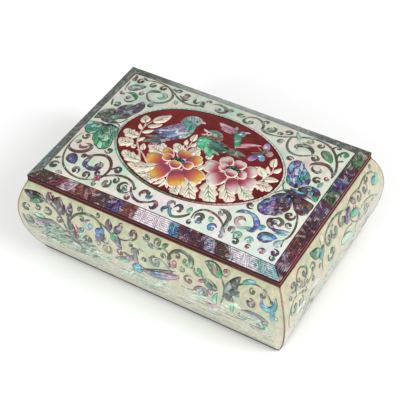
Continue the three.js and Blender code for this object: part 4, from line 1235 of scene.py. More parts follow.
def round_the_oval(count, inset):
    """Places round the oval picture, a distance in from its ring's outer edge."""
    angles = np.arange(count) / count * FULL_TURN
    return np.stack([(OVAL_LENGTH - inset) * np.cos(angles), (OVAL_DEPTH - inset) * np.sin(angles)], 1)


def oval_ground(material):
    """The lacquer ground of the picture."""
    edge = round_the_oval(GROUND_POINTS, RING_WIDTH + GLUE_GAP)
    return crowned_sheet("oval_ground", edge * CENTRE_SHARE, edge, GROUND_ROWS, True, material)


def oval_band(material):
    """The lacquered band under the ring's shell bars."""
    profile = [(0, -INLAY), (0, 0), (RING_WIDTH, 0), (RING_WIDTH, -INLAY)]
    rings = [on_face(round_the_oval(BAND_POINTS, inset), level) for inset, level in profile]
    return ringed_piece("oval_band", rings, False, material)


def new_shape_tree(name, numbers, counts=()):
    """A Geometry Nodes tree with named inputs."""
    group = bpy.data.node_groups.new(name, "GeometryNodeTree")
    kinds = {"Geometry": "Geometry"} | dict.fromkeys(numbers, "Float") | dict.fromkeys(counts, "Int")
    for key, kind in kinds.items():
        group.interface.new_socket(key, in_out="INPUT", socket_type=f"NodeSocket{kind}")
    group.interface.new_socket("Geometry", in_out="OUTPUT", socket_type="NodeSocketGeometry")
    tree = Tree(group)
    tree.given = {s.name: Term(tree, s) for s in tree.add("NodeGroupInput").outputs if s.name}
    return tree


def vector(tree, x=0.0, y=0.0, z=0.0):
    return tree.add("ShaderNodeCombineXYZ", enumerate([x, y, z])).outputs[0]


def end_tree(tree, geometry, material):
    """The tree's last nodes: real geometry, with its material."""
    real = tree.add("GeometryNodeRealizeInstances", {"Geometry": geometry})
    dressed = tree.add("GeometryNodeSetMaterial", {"Geometry": real.outputs[0], "Material": material})
    tree.add("NodeGroupOutput", {0: dressed.outputs[0]})
    return tree.tree


def grown_by(tree, name, values):
    """The plain mesh that a tree makes with the given values, as a new object."""
    seed = linked(f"{name}_seed", bpy.data.meshes.new(f"{name}_seed"))
    modifier = seed.modifiers.new("grow", "NODES")
    modifier.node_group = tree
    for item in tree.interface.items_tree:
        if item.name in values:
            modifier[item.identifier] = values[item.name]
    depsgraph = bpy.context.evaluated_depsgraph_get()
    mesh = bpy.data.meshes.new_from_object(seed.evaluated_get(depsgraph))
    seed.modifiers.remove(modifier)
    bpy.data.objects.remove(seed)
    mesh.name = name
    return smooth_piece(name, mesh)


def points_of(mesh):
    """A mesh's points, in rows of three."""
    flat = np.empty(len(mesh.vertices) * 3)
    mesh.vertices.foreach_get("co", flat)
    return flat.reshape(-1, 3)


def move_points(mesh, points):
    mesh.vertices.foreach_set("co", np.asarray(points, float).ravel())
    mesh.update()


def bowed_sheet_tree(material):
    """A side's shell sheet: a fine block bent to the bow of side_out, with mitred ends."""
    tree = new_shape_tree("bowed_sheet", ("Reach", "Half Run", "End Gap", "Turn"))
    fine = {"Vertices X": 25, "Vertices Y": 2, "Vertices Z": SIDE_ROWS}
    block = tree.add("GeometryNodeMeshCube", {"Size": (1, 1, 1)} | fine)
    place = tree.add("ShaderNodeSeparateXYZ", {0: tree.add("GeometryNodeInputPosition").outputs[0]})
    x, y, z = (Term(tree, socket) for socket in place.outputs)
    height = VENEER_FOOT + (z + 0.5) * (WALL_TOP - VENEER_FOOT)
    above = (height - BELLY_LEVEL) / (WALL_TOP - BELLY_LEVEL)
    below = (BELLY_LEVEL - height) / (BELLY_LEVEL - WALL_FOOT)
    is_above = tree.math("GREATER_THAN", height, BELLY_LEVEL)
    drop = is_above * (BELLY_OUT - WALL_TOP_OUT) * above * above
    dip = (1 - is_above) * (BELLY_OUT + FOOT_IN) * below * below
    out = BELLY_OUT - drop - dip - (y + 0.5) * VENEER
    along = x * 2 * (tree.given["Half Run"] + out - tree.given["End Gap"])
    bent = vector(tree, along, 0 - (tree.given["Reach"] + out), height)
    shaped = tree.add("GeometryNodeSetPosition", {"Geometry": block.outputs["Mesh"], "Position": bent})
    spin = vector(tree, z=tree.given["Turn"])
    faced = tree.add("GeometryNodeTransform", {"Geometry": shaped.outputs[0], "Rotation": spin})
    return end_tree(tree, faced.outputs[0], material)


def fret_tree(material):
    """A flat row of key units along X: three nested frames of four separate bars round a last bar."""
    numbers = ("Unit Length", "Unit Width", "Bar", "Pitch", "Gap", "Thickness")
    tree = new_shape_tree("fret", numbers, counts=["Units"])
    given = tree.given
    number = Term(tree, tree.add("GeometryNodeInputIndex").outputs[0])
    unit = tree.math("FLOOR", number / BARS_IN_UNIT)
    in_unit = number - unit * BARS_IN_UNIT
    ring = tree.math("FLOOR", in_unit / 4)
    corner = in_unit - ring * 4
    upright = tree.math("GREATER_THAN", corner, 1.5)
    sign = 1 - 2 * (corner - 2 * upright)
    half_long = (given["Unit Length"] - given["Gap"] - given["Bar"]) * 0.5 - ring * given["Pitch"]
    half_wide = (given["Unit Width"] - given["Bar"]) * 0.5 - ring * given["Pitch"]
    x = upright * sign * half_long + (unit - (given["Units"] - 1) * 0.5) * given["Unit Length"]
    y = (1 - upright) * sign * half_wide
    long_bar = half_long * 2 + given["Bar"]
    short_bar = half_wide * 2 - given["Bar"] - given["Gap"] * 0.6
    x_size = (1 - upright) * long_bar + upright * given["Bar"]
    y_size = (1 - upright) * given["Bar"] + upright * tree.math("MAXIMUM", short_bar, given["Gap"])
    count = given["Units"] * BARS_IN_UNIT
    spots = tree.add("GeometryNodePoints", {"Count": count, "Position": vector(tree, x, y)})
    bar = tree.add("GeometryNodeMeshCube", {"Size": (1, 1, 1), "Vertices X": 6})
    size = vector(tree, x_size, y_size, given["Thickness"])
    places = {"Points": spots.outputs[0], "Instance": bar.outputs["Mesh"], "Scale": size}
    copies = tree.add("GeometryNodeInstanceOnPoints", places)
    return end_tree(tree, copies.outputs[0], material)


def ring_shells_tree(material):
    """Short shell bars in a row round an oval."""
    numbers = ("Half Length", "Half Depth", "Bar Width", "Bar Share", "Thickness")
    tree = new_shape_tree("ring_shells", numbers, counts=["Pieces"])
    given = tree.given
    circle = tree.add("GeometryNodeCurvePrimitiveCircle", {"Resolution": 360, "Radius": 1.0})
    spread = vector(tree, given["Half Length"], given["Half Depth"], 1.0)
    path = tree.add("GeometryNodeTransform", {"Geometry": circle.outputs[0], "Scale": spread})
    spaced = tree.add("GeometryNodeResampleCurve", {"Curve": path.outputs[0], "Count": given["Pieces"]})
    around = Term(tree, tree.add("GeometryNodeCurveLength", {"Curve": path.outputs[0]}).outputs[0])
    bar_length = around / given["Pieces"] * given["Bar Share"]
    size = vector(tree, bar_length, given["Bar Width"], given["Thickness"])
    bar = tree.add("GeometryNodeMeshCube", {"Size": size, "Vertices X": 5})
    tangent = tree.add("GeometryNodeInputTangent")
    along = {"Vector": tangent.outputs[0]}
    facing = tree.add("FunctionNodeAlignRotationToVector", along, axis="X", pivot_axis="Z")
    places = {"Points": spaced.outputs[0], "Instance": bar.outputs["Mesh"], "Rotation": facing.outputs[0]}
    copies = tree.add("GeometryNodeInstanceOnPoints", places)
    return end_tree(tree, copies.outputs[0], material)


# Tints of the fret by place: how far each row of tints reaches along its side of the lid, in millimetres
# from the middle of that side as it is faced. On the front, the white and pale rows from -57 to -50, -9.5 to
# 12 and 49 to 80 are painted glare, the lights' reflections laid into the tints
FRET_TINTS_AND_GLARE = {
    "front": [
        (-63, ("maroon", "brown", "moss")), (-57, ("maroon", "rose", "ink")),
        (-50, ("blush", "pearl", "plum", "lilac")), (-36, ("maroon", "ink", "crimson", "rosewood")),
        (-26, ("brown", "maroon", "slate")), (-18, ("indigo", "violet", "ink")),
        (-9.5, ("maroon", "crimson", "brown", "rosewood")),
        (12, ("white", "blush", "white", "pearl", "white")), (18, ("indigo", "sky", "ink")),
        (34, ("plum", "maroon", "ink", "rosewood", "maroon")), (40, ("indigo", "pearl", "plum")),
        (49, ("maroon", "brown", "moss")),
        (63, ("white", "pearl", "white", "slate", "white")), (80, ("sky", "white", "teal", "white", "mint")),
    ],
    "right": [
        (-38, ("plum", "ink", "maroon", "lilac")), (-20, ("maroon", "rose", "ink", "brown", "maroon")),
        (-8, ("plum", "maroon", "ink")), (1, ("violet", "plum", "ink", "rosewood")), (6, ("maroon", "plum")),
        (15, ("moss", "emerald", "maroon", "ink")), (25, ("indigo", "plum", "ink")),
        (35, ("maroon", "plum", "ink")), (54, ("emerald", "moss", "maroon", "rosewood")),
    ],
    "back": [(80, ("grey", "olive", "moss", "slate", "olive"))],
    "left": [
        (-20, ("grey", "olive", "grey")), (26, ("grey", "olive", "slate")),
        (54, ("teal", "grey", "rosewood")),
    ],
}
# The fret: bars in a unit, the unit's length, the bars' width and spacing, the gap between them, and
# what is left between them and the border's outer and inner edge
BARS_IN_UNIT = 13
FRET_UNIT, FRET_BAR, FRET_PITCH, FRET_GAP = 9.0 * MM, 0.68 * MM, 0.94 * MM, 0.3 * MM
FRET_OUTER, FRET_INNER = 0.1 * MM, 0.3 * MM
# The bars of the fret and of the ring: how thick they are, and how far out their middle lies
BAR_THICKNESS = 0.2 * MM
BAR_LIFT = PLATE_PROUD * MM - BAR_THICKNESS / 2


def border_sheet(name, side, material):
    """One dark strip of the border, under its key pattern."""
    outer, inner = LID_LIP + GLUE_GAP, BORDER_WIDTH
    profile = [(outer, 0), ((outer + inner) / 2, 0), (inner, 0), (inner, -INLAY), (outer, -INLAY)]
    insets, levels = np.array(profile).T
    rings = []
    for share in np.linspace(-1, 1, BORDER_ROWS):
        along = share * (side["run"] - insets - GLUE_GAP)
        flat = np.column_stack([along, insets - side["reach"], np.zeros(len(insets))])
        rings.append(on_face(turned(flat, side["turn"])[:, :2], levels))
    return ringed_piece(name, rings, True, material, 12)


def fret_colours(side_name, along, across):
    """Clouded colours of one side's fret: the tints of each place, the front's painted glare among them,
    mixed in slanting drifts.
    """
    drift = along + 1.1 * across
    waves = np.sin(1.1 * drift + 1.6 * np.sin(0.37 * along)) + np.sin(3.1 * across - 0.61 * along)
    mix = 0.5 + 0.5 * waves
    colours = np.zeros((len(along), 4))
    start = -math.inf
    for limit, tints in FRET_TINTS_AND_GLARE[side_name]:
        here = (along > start) & (along <= limit)
        colours[here] = blended(tints, np.clip(mix[here], 0, 1))
        start = limit
    return colours


def key_fret(name, side_name, tree):
    """The key pattern of one side: a flat row, leant to the mitres at its ends and laid on the bevel."""
    side = SIDES[side_name]
    width = BORDER_WIDTH - FRET_INNER - FRET_OUTER
    middle = FRET_OUTER + width / 2
    run = 2 * (side["run"] - middle)
    units = round(run / FRET_UNIT)
    values = {
        "Units": units,
        "Unit Length": run / units,
        "Unit Width": width,
        "Bar": FRET_BAR,
        "Pitch": FRET_PITCH,
        "Gap": FRET_GAP,
        "Thickness": BAR_THICKNESS,
    }
    piece = grown_by(tree, name, values)
    flat = points_of(piece.data)
    inset = middle + flat[:, 1]
    along = flat[:, 0] * (side["run"] - inset) / (side["run"] - middle)
    laid = turned(np.column_stack([along, inset - side["reach"], flat[:, 2]]), side["turn"])
    move_points(piece.data, on_face(laid[:, :2], laid[:, 2] + BAR_LIFT))
    add_tints(piece.data, fret_colours(side_name, flat[:, 0] / MM, flat[:, 1] / MM))
    return piece


# The shell bars in the ring round the picture, and their tints at even steps from the ring's right end round
# by its back. The bright mint bars from the back to the back left, and the bar just past the left end, are
# partly painted glints
RING_INSET, RING_BAR = 0.6 * MM, 1.05 * MM
RING_BARS, RING_BAR_SHARE = 96, 0.93
RING_TINTS_AND_GLINTS = (
    "celadon", "dove", "dove", "blush", "mint", "mint", "mint", "celadon", "grey", "mint", "olive", "olive",
    "rosewood", "shell_pink", "dove", "celadon",
)


def ring_shells(name, tree):
    """The row of shell bars in the ring round the oval picture."""
    values = {
        "Pieces": RING_BARS,
        "Half Length": OVAL_LENGTH - RING_INSET,
        "Half Depth": OVAL_DEPTH - RING_INSET,
        "Bar Width": RING_BAR,
        "Bar Share": RING_BAR_SHARE,
        "Thickness": BAR_THICKNESS,
    }
    piece = grown_by(tree, name, values)
    flat = points_of(piece.data)
    move_points(piece.data, on_face(flat[:, :2], flat[:, 2] + BAR_LIFT))
    middles = flat.reshape(RING_BARS, -1, 3).mean(1)
    angles = np.arctan2(middles[:, 1] / OVAL_DEPTH, middles[:, 0] / OVAL_LENGTH) % FULL_TURN
    tints = blended(RING_TINTS_AND_GLINTS, angles / FULL_TURN)
    add_tints(piece.data, np.repeat(tints, len(flat) // RING_BARS, axis=0))
    return piece


# The garden on the long sides, in millimetres along from the middle and up from the table.
# Vines and curls are listed as they are for the lid.
GARDEN_VINES = [
    ("moss", "moss", 0.75, [(-44, 31), (-48.5, 36.5), (-50, 43), (-46, 49.5), (-39.5, 52.6), (-33, 52.6),
     (-28.4, 49.4), (-26.6, 45)]),
    ("moss", "slate", 0.75, [(-50, 34), (-53, 40), (-56, 45), (-61, 49), (-68, 50.6), (-73, 50.4)]),
    ("moss", "plum", 0.8, [(-49, 34), (-50.4, 41), (-51, 47), (-54, 51.6)]),
    ("brown", "moss", 0.5, [(-33, 52.6), (-27, 50.4), (-20.6, 47.4), (-13.4, 47), (-8.2, 49.6)]),
    ("moss", "moss", 0.85, [(16.6, 42.6), (15, 48), (17.4, 52.6), (22.6, 54.6), (27.4, 53), (29.4, 48.6)]),
    ("moss", "moss", 0.5, [(-1.6, 53.6), (3.6, 52), (8, 50.8), (12.6, 51.8), (16, 49)]),
    ("brown", "moss", 0.5, [(48, 31), (49.6, 37.6), (50.2, 44), (47.6, 49.6), (43.6, 51.6)]),
    ("moss", "moss", 0.55, [(50, 37.6), (53.4, 44), (58.6, 50.4), (65.6, 53.8), (72.6, 53), (77.6, 48)]),
    ("olive", "grey", 0.5, [(-82.6, 29.6), (-80, 25.6), (-75.6, 26.4), (-74, 30)]),
    ("brown", "grey", 0.42, [(3, 43), (8, 45.2), (13, 44), (17.4, 40)]),
]
GARDEN_CURLS = [
    (-80, 41, 3, 20, 1, "moss"), (-36.6, 46.8, 3.2, 80, 1, "sky"), (-8.2, 52.4, 3, 260, 1, "brown"),
    (-43.4, 53.4, 2.2, 240, 1, "moss"), (-36.4, 37.2, 2.8, 120, 1, "olive"),
    (-25.6, 41.8, 2.6, 20, -1, "slate"), (-24.6, 35.8, 3.6, 60, -1, "sand"), (0.4, 54, 2.2, 180, 1, "moss"),
    (7.6, 53.8, 2.4, 230, -1, "moss"), (25.8, 50, 2.4, 60, -1, "emerald"), (18.4, 46, 3, 120, 1, "rose"),
    (34, 47.6, 2.8, 150, 1, "emerald"), (28.4, 39.6, 3, 70, 1, "rosewood"), (37, 35, 4.2, 200, -1, "grey"),
    (66.2, 49.6, 2, 90, 1, "moss"), (65.8, 42.2, 3, 100, -1, "ink"), (80.2, 39, 2.8, 90, 1, "mint"),
    (7.4, 42, 3.6, 100, 1, "grey"), (49.8, 53.6, 2.4, 220, 1, "rosewood"), (-64.6, 45, 3, 200, 1, "moss"),
    (-71.6, 44.6, 2.2, 200, 1, "slate"), (61.4, 29, 2.8, 120, 1, "grey"), (-16.2, 54, 1.7, 60, 1, "slate"),
    (71.6, 26.6, 3, 60, -1, "olive"), (-15.4, 37.6, 2.4, 90, 1, "maroon"), (-56.4, 42, 2.2, 60, 1, "brown"),
    (-79, 32.4, 4.2, 150, 1, "olive"), (-62.6, 53.6, 2.6, 90, 1, "maroon"), (74.6, 31, 2.4, 30, 1, "teal"),
    (-30.6, 38.2, 2.2, 250, 1, "sand"), (57.6, 43.8, 2, 60, 1, "teal"), (41.6, 38, 2, 30, -1, "lilac"),
]
GARDEN_LEAVES = [
    ((-67, 51), (-82, 51.6), 3.2, "ink", "ink", 0.06),
    ((-70, 48.4), (-77.6, 46), 1.9, "emerald", "slate", -0.1),
    ((-62.6, 49.6), (-65.6, 56), 2.7, "maroon", "bark", 0),
    ((-60.2, 50.4), (-57, 55.6), 2.4, "maroon", "brown", 0),
    ((-53.4, 46.4), (-57.2, 55.8), 2.9, "bark", "slate", 0.1),
    ((-51.6, 46.4), (-50, 55.2), 2.2, "ink", "plum", -0.1),
    ((-44, 38.6), (-47, 44.8), 2.4, "rose", "blush", 0.1),
    ((-43.4, 40), (-39.4, 43.8), 1.6, "teal", "slate", 0),
    ((-46.6, 32.4), (-42.6, 39.6), 1.5, "plum", "rose", 0.1),
    ((-49.8, 44.6), (-46.2, 32), 1.8, "moss", "ink", 0.1),
    ((-30, 38.8), (-26, 44.8), 2.7, "violet", "moss", 0.15),
    ((-31.2, 42.8), (-26.6, 48.6), 3, "sky", "indigo", 0),
    ((-22.4, 49), (-24.2, 55.4), 2.5, "slate", "plum", 0.1),
    ((-20.4, 49.6), (-16, 54.6), 2.3, "plum", "slate", -0.1),
    ((-22.4, 47.2), (-15.6, 41.6), 2.9, "emerald", "slate", 0.15),
    ((-19.4, 44.8), (-14.4, 40), 1.6, "slate", "indigo", 0.1),
    ((47.4, 49.4), (36.6, 54.8), 3.3, "emerald", "moss", -0.1),
    ((44.2, 50.6), (41.6, 56), 1.9, "rose", "emerald", 0),
    ((46.6, 41.6), (36.2, 46.6), 2.9, "emerald", "moss", 0.1),
    ((45.6, 40.4), (41.2, 43.6), 2, "slate", "ink", 0), ((34.4, 41.6), (38, 44), 1.2, "rose", "ember", 0),
    ((51.6, 39), (58.4, 54.8), 3.4, "slate", "moss", 0.05),
    ((50.6, 39.6), (56, 37.8), 2.6, "brown", "moss", 0.1), ((53, 42), (59.4, 46), 2, "moss", "slate", 0.1),
    ((59.8, 51.4), (67.4, 54.8), 1.4, "emerald", "sky", 0.1),
    ((64.6, 39.6), (67.6, 44.2), 1.6, "ink", "moss", 0),
    ((-66, 38.4), (-74, 39.8), 2.4, "teal", "mint", 0.1),
    ((44.6, 28.6), (46.6, 39.6), 1.5, "mint", "emerald", 0.1),
    ((54.6, 28.6), (55.6, 36.4), 1.3, "emerald", "mint", 0),
    ((10.4, 52.6), (14.2, 55.4), 1.3, "emerald", "moss", 0),
    ((1.6, 51.8), (5.6, 49.4), 1.1, "moss", "teal", 0),
]
# The bird with the long tail, the blue hook at the right end and the long feathers:
# tint, end tint, half width, points
GARDEN_STROKES = [
    ("teal", "sky", 2, [(79.4, 52), (79.8, 46.4), (76.6, 43), (72.8, 44), (72, 47.8)]),
    ("sky", "teal", 1.2, [(78.6, 46), (78.8, 42), (80.4, 37)]),
    ("slate", "grey", 1.3, [(60.6, 34.4), (66, 35.8), (72, 35.6), (77.6, 33.8)]),
    ("mist", "violet", 0.8, [(62.6, 33), (68, 34), (74, 33.4)]),
    ("brown", "lilac", 1.1, [(31, 32.6), (33.4, 36.4), (38, 38.2), (43, 35)]),
    ("teal", "mist", 1.3, [(34.6, 30.6), (36, 33.4), (37.4, 36.8)]),
    ("rose", "blush", 1, [(38, 25), (43, 27.4), (48.6, 28.6)]),
    ("maroon", "bark", 1.1, [(-8.8, 38.4), (-10.8, 38.6), (-13.4, 39.4)]),
    ("grey", "slate", 1.8, [(-8, 41), (-6.8, 43.4), (-4.6, 43.6), (-3.4, 41.4)]),
    ("slate", "lilac", 0.5, [(-5, 45), (-2.6, 45.6), (0, 45.2)]),
    ("grey", "lilac", 1.8, [(-5.4, 43), (-5.4, 39.6), (-5, 36.4), (-3, 33.4)]),
    ("mint", "teal", 1.5, [(-15.6, 31), (-12, 33), (-8.6, 35.6)]),
    ("lilac", "slate", 1.5, [(-10.6, 34.6), (-8.2, 37.2), (-6.6, 40)]),
    ("teal", "sky", 3.6, [(-5.2, 26), (-4.8, 30.6), (-3.4, 35.4)]),
    ("slate", "lilac", 3.3, [(-3, 31.4), (6, 31.8), (14, 34.6), (23, 38.4)]),
    ("indigo", "sky", 1.5, [(3.4, 30.2), (8.4, 32), (14, 33.4)]),
    ("sky", "violet", 1.3, [(4, 33.4), (9.4, 34.8), (15, 36)]),
    ("ink", "moss", 0.8, [(-3.4, 35), (1, 33.4), (7, 36), (14, 39), (21, 41.6)]),
    ("orchid", "violet", 1, [(10, 35.4), (15.6, 37.4), (21.4, 39.6)]),
    ("blush", "rose", 1, [(12, 32.6), (17.6, 35), (22.8, 37.6)]),
    ("white", "rose", 0.7, [(15.4, 35.6), (19.6, 37.6), (23.2, 40)]),
    ("moss", "emerald", 1.2, [(27, 55), (29.4, 52.4), (29.2, 49.2), (26.4, 47.6)]),
    ("mint", "celadon", 1.5, [(-12.6, 17), (-10.6, 22), (-7.4, 27)]),
    ("grey", "moss", 1.2, [(-20, 31), (-15, 33.6), (-10.6, 37)]),
    ("slate", "grey", 1.6, [(-76, 38), (-69, 36.6), (-61, 38.6), (-54, 36)]),
    ("lilac", "violet", 1.3, [(-76.6, 35.2), (-70, 33.6), (-63, 35.2)]),
    ("emerald", "mint", 1.2, [(-68, 31), (-62, 33.4), (-56.6, 32)]),
    ("moss", "slate", 1.3, [(-58, 29), (-52, 31.4), (-46, 29.6), (-41, 25.6)]),
]
# Between which levels the garden's curls keep
GARDEN_LEVELS = (30, 56.4)
# Stretches with grass, along a side, and how many feathers of it grow there
GARDEN_PLUMES = [(-74, -36, 90)]
TENDRIL_PLUMES = [(-40, -26, 7), (20, 40, 9)]


def plumes(plates, start, end, count, dice):
    """Fine slanting feathers of grass that lie across one another."""
    for _ in range(count):
        x, y = dice.uniform(start, end), dice.uniform(18, 35)
        lean, length = dice.uniform(-0.5, 0.9), dice.uniform(3, 8)
        tip = (x + length * math.sin(lean + 0.9), y + length * 0.7 * math.cos(lean))
        tint = dice.choice(("moss", "emerald", "moss", "teal", "olive", "grey", "slate"))
        leaf(plates, (x, y), tip, dice.uniform(0.3, 0.75), tint, tint, 0.12, level=dice.choice((0, 1)))


# Drifts of paler or greyer shell in the ground: tint, end tint, half width, points
LONG_DRIFTS = [
    ("mint", "celadon", 2.6, [(-18, 17), (-13, 20.6), (-8.6, 23)]),
    ("celadon", "mint", 2.2, [(4, 19), (8.4, 23.6), (13.6, 26)]),
    ("celadon", "mint", 1.8, [(29, 27), (33, 28.6), (37.6, 28)]),
    ("blush", "dove", 1.4, [(38, 19), (43.6, 23.6), (49.6, 27.4)]),
    ("mint", "celadon", 1.8, [(53, 34), (57, 36), (61.4, 35.4)]),
    ("wash", "mint", 2.2, [(66, 25), (72, 27), (79, 26)]),
    ("emerald", "wash", 2.2, [(-67, 27), (-58, 30.8), (-49, 29)]),
    ("wash", "steel", 2.2, [(-52, 28), (-44, 26), (-36, 21)]),
    ("wash", "celadon", 1.8, [(-80, 18), (-70, 20.4), (-58, 19)]),
    ("mint", "wash", 1.6, [(-41, 33), (-40.6, 37), (-39.4, 40)]),
]
SHORT_DRIFTS = [
    ("wash", "dove", 3.6, [(-37, 32), (-29, 35), (-19, 33)]),
    ("wash", "celadon", 3, [(-50, 30), (-44, 33), (-37, 33)]),
    ("mint", "wash", 2.6, [(14, 32), (22, 28), (29, 22)]),
    ("wash", "dove", 2.2, [(28, 31), (36, 30), (46, 26)]),
]


def washes(plates, half_run, count, dice):
    """Soft pale patches low on a side, of about the ground's own tone."""
    pairs = (("wash", "mint"), ("celadon", "wash"), ("mint", "celadon"), ("dove", "wash"), ("wash", "dove"))
    for _ in range(count):
        x, y = dice.uniform(-half_run, half_run - 10), dice.uniform(7, 33)
        length, rise = dice.uniform(4, 11), dice.uniform(-2.4, 1.2)
        row = dice.choice(pairs)
        tip, half_width = (x + length, y + rise), dice.uniform(0.4, 1.3)
        leaf(plates, (x, y), tip, half_width, *row, dice.uniform(-0.1, 0.1))


def ripples(plates, half_run, count, dice):
    """Long, gently waving strokes low on a side: pale shell, the white strokes among it painted glints, each
    with a darker copy just below it as a painted shadow.
    """
    plates.outlined = 0.65
    for _ in range(count):
        x, y = dice.uniform(-half_run, half_run - 8), dice.triangular(5, 38, 20)
        length = dice.uniform(3, 10)
        rises = [y + dice.uniform(-0.6, 0.6) for _ in range(4)]
        line = smooth_line([(x + length * k / 3, rise) for k, rise in enumerate(rises)], 4)
        widths = dice.uniform(0.22, 0.65) * np.sin(math.pi * np.linspace(0, 1, len(line))) ** 0.7
        # Pale strokes; the white ones are painted glints
        plates.ribbon(line, widths, dice.choice(("white", "celadon", "mint", "celadon")))
        # Painted shadow: a darker copy of each stroke, half a millimetre down and along
        plates.ribbon(line + (0.5, -0.5), widths, dice.choice(("grey", "olive", "moss", "sand")))
    plates.outlined = 1.0


def grow_garden(plates, vines, curl_rows, leaf_rows, flip, half_run, tries, dice):
    """The stems, curls and leaves of one side, with small curls in the room between them."""

    def inside(spot, margin):
        low, high = GARDEN_LEVELS
        return abs(spot[0]) < half_run - margin and low + margin < spot[1] < high - margin

    stems = []
    for tint, end_tint, half_width, points in vines:
        stems.append((vine(plates, flipped(points, flip), half_width, tint, end_tint, 1.1), tint))
    curls(plates, curl_rows, flip, fat=0.34)
    leaves(plates, leaf_rows, flip)
    for line, tint in stems:
        sprigs(plates, line, tint, inside, dice)
    fill_gaps(plates, dice, tries, half_run, inside)


def begin_garden(side_name, flip, drift_rows, half_run, wash_count, ripple_count, plume_rows):
    """A side's plates with what lies lowest on it, and the dice for the rest."""
    plates = Plates(side_layer(SIDES[side_name]))
    dice = random.Random(f"garden {side_name}")
    plates.outlined = 0.0
    strokes(plates, drift_rows, flip, level=0)
    washes(plates, half_run, wash_count, dice)
    ripples(plates, half_run, ripple_count, dice)
    for low, high, count in plume_rows:
        plumes(plates, *sorted((low * flip, high * flip)), count, dice)
    return plates, dice


def long_garden(side_name, flip):
    """The garden of a long side. flip is -1 for its mirror image."""
    plates, dice = begin_garden(side_name, flip, LONG_DRIFTS, 80, 110, 130, GARDEN_PLUMES)
    strokes(plates, GARDEN_STROKES, flip)
    grow_garden(plates, GARDEN_VINES, GARDEN_CURLS, GARDEN_LEAVES, flip, 79, 260, dice)
    return plates


# The short sides carry one tall scroll to each side of a leaf
TENDRIL_VINES = [
    ("olive", "moss", 0.45, [(-54, 28), (-55.6, 35), (-52, 42), (-45, 44.6), (-39, 42)]),
    ("moss", "olive", 0.45, [(-30, 52), (-36, 54.6), (-41, 51.6), (-40.6, 46.6), (-34, 43), (-27, 44.6)]),
    ("moss", "olive", 0.6, [(-12, 50), (-6, 53.6), (2, 55), (10, 54), (16.6, 51)]),
    ("olive", "moss", 0.7, [(16.6, 51), (24, 53.6), (33, 52.6), (40, 54), (47.6, 52.6), (51.6, 48)]),
    ("brown", "grey", 0.5, [(16.6, 51), (17.6, 44), (22, 38), (30, 34), (38, 34.6)]),
    ("olive", "moss", 0.5, [(-17, 36), (-16.4, 43), (-12, 50)]),
    ("olive", "grey", 0.5, [(5, 38), (12, 41), (18, 40)]),
    ("grey", "olive", 0.5, [(28, 41.6), (36, 41.8), (44, 39), (50, 34)]),
]
TENDRIL_CURLS = [
    (-33, 50, 3.2, 100, -1, "moss"), (-25.4, 47, 2.8, 150, -1, "moss"), (-6, 49, 3.4, 110, 1, "moss"),
    (1, 49, 4, 80, 1, "olive"), (9.8, 49.2, 3.9, 60, 1, "olive"), (30.6, 48.6, 3, 90, -1, "olive"),
    (37.8, 48.6, 3.2, 80, -1, "moss"), (42, 52, 2.2, 60, 1, "plum"), (-6, 39.6, 4.6, 150, 1, "olive"),
    (-49, 39, 4, 100, 1, "olive"), (-42, 37.6, 3.2, 60, -1, "grey"), (-45, 50.6, 3, 200, 1, "moss"),
    (36, 37.4, 2.8, 90, 1, "grey"), (24.6, 46.4, 2.2, 40, 1, "ember"), (-34, 44.6, 2.4, 60, 1, "grey"),
]
TENDRIL_LEAVES = [
    ((-14.6, 49), (-24, 54.8), 3.1, "emerald", "moss", 0.1),
    ((-12.6, 50.4), (-9.6, 55.8), 2.2, "sand", "celadon", 0),
    ((-17.4, 44.6), (-10.6, 50), 2.4, "teal", "moss", 0.1),
    ((13.6, 43), (20.4, 50.6), 3.6, "slate", "plum", 0.1),
    ((18, 45), (28.6, 40.4), 2.7, "emerald", "teal", 0.1),
    ((4.6, 37.6), (19, 31.4), 3.8, "mint", "wash", 0.03),
    ((45, 47.6), (52.2, 42.4), 2.9, "teal", "sky", 0.1),
    ((51.6, 49.6), (49, 43), 2.1, "emerald", "mint", 0.1),
    ((22, 52.4), (26.8, 47.8), 1.9, "rosewood", "olive", 0.1),
    ((-44, 44), (-41, 49), 1.6, "celadon", "olive", 0.1),
]


def short_garden(side_name, flip):
    """The garden of a short side. flip is -1 for its mirror image."""
    plates, dice = begin_garden(side_name, flip, SHORT_DRIFTS, 52, 50, 70, TENDRIL_PLUMES)
    grow_garden(plates, TENDRIL_VINES, TENDRIL_CURLS, TENDRIL_LEAVES, flip, 52, 40, dice)
    return plates


# Which garden each side has, and whether it is flipped
GARDENS = {
    "front": (long_garden, 1),
    "back": (long_garden, -1),
    "right": (short_garden, 1),
    "left": (short_garden, -1),
}


def corner_line(name, sign_x, sign_y, material):
    """The slim lacquered bar down a corner, rounded on its tip."""
    rings = []
    for height in np.linspace(VENEER_FOOT, WALL_TOP, SIDE_ROWS):
        face = float(side_out(height))
        root, tip, soft = face - CORNER_LINE, face + CORNER_PROUD, 0.3 * MM
        ring = [(tip, tip - soft), (tip - soft * 0.3, tip - soft * 0.3), (tip - soft, tip)]
        ring += [(root, face), (root, root), (face, root)]
        rings.append([(sign_x * (HALF_LENGTH + a), sign_y * (HALF_DEPTH + b), height) for a, b in ring])
    return ringed_piece(name, rings, True, material, 50)


def foot_line(material):
    """The thin dark line along the foot of all four sides, mitred and rounded on its outer edge: partly the
    walls' dark foot and partly painted shade under the sides' bulge.
    """
    low, high = VENEER_FOOT, VENEER_FOOT + FOOT_LINE_HEIGHT
    face, soft = float(side_out(low)), 0.15 * MM
    root, tip = face - FOOT_LINE_DEPTH, face + FOOT_LINE_PROUD
    profile = [(root, low), (tip - soft, low), (tip, low + soft), (tip, high - soft), (tip - soft, high)]
    profile.append((root, high))
    rings = []
    for sign_x, sign_y in CORNERS:
        rings.append([(sign_x * (HALF_LENGTH + out), sign_y * (HALF_DEPTH + out), z) for out, z in profile])
    return ringed_piece("foot_line", rings, False, material, 50)


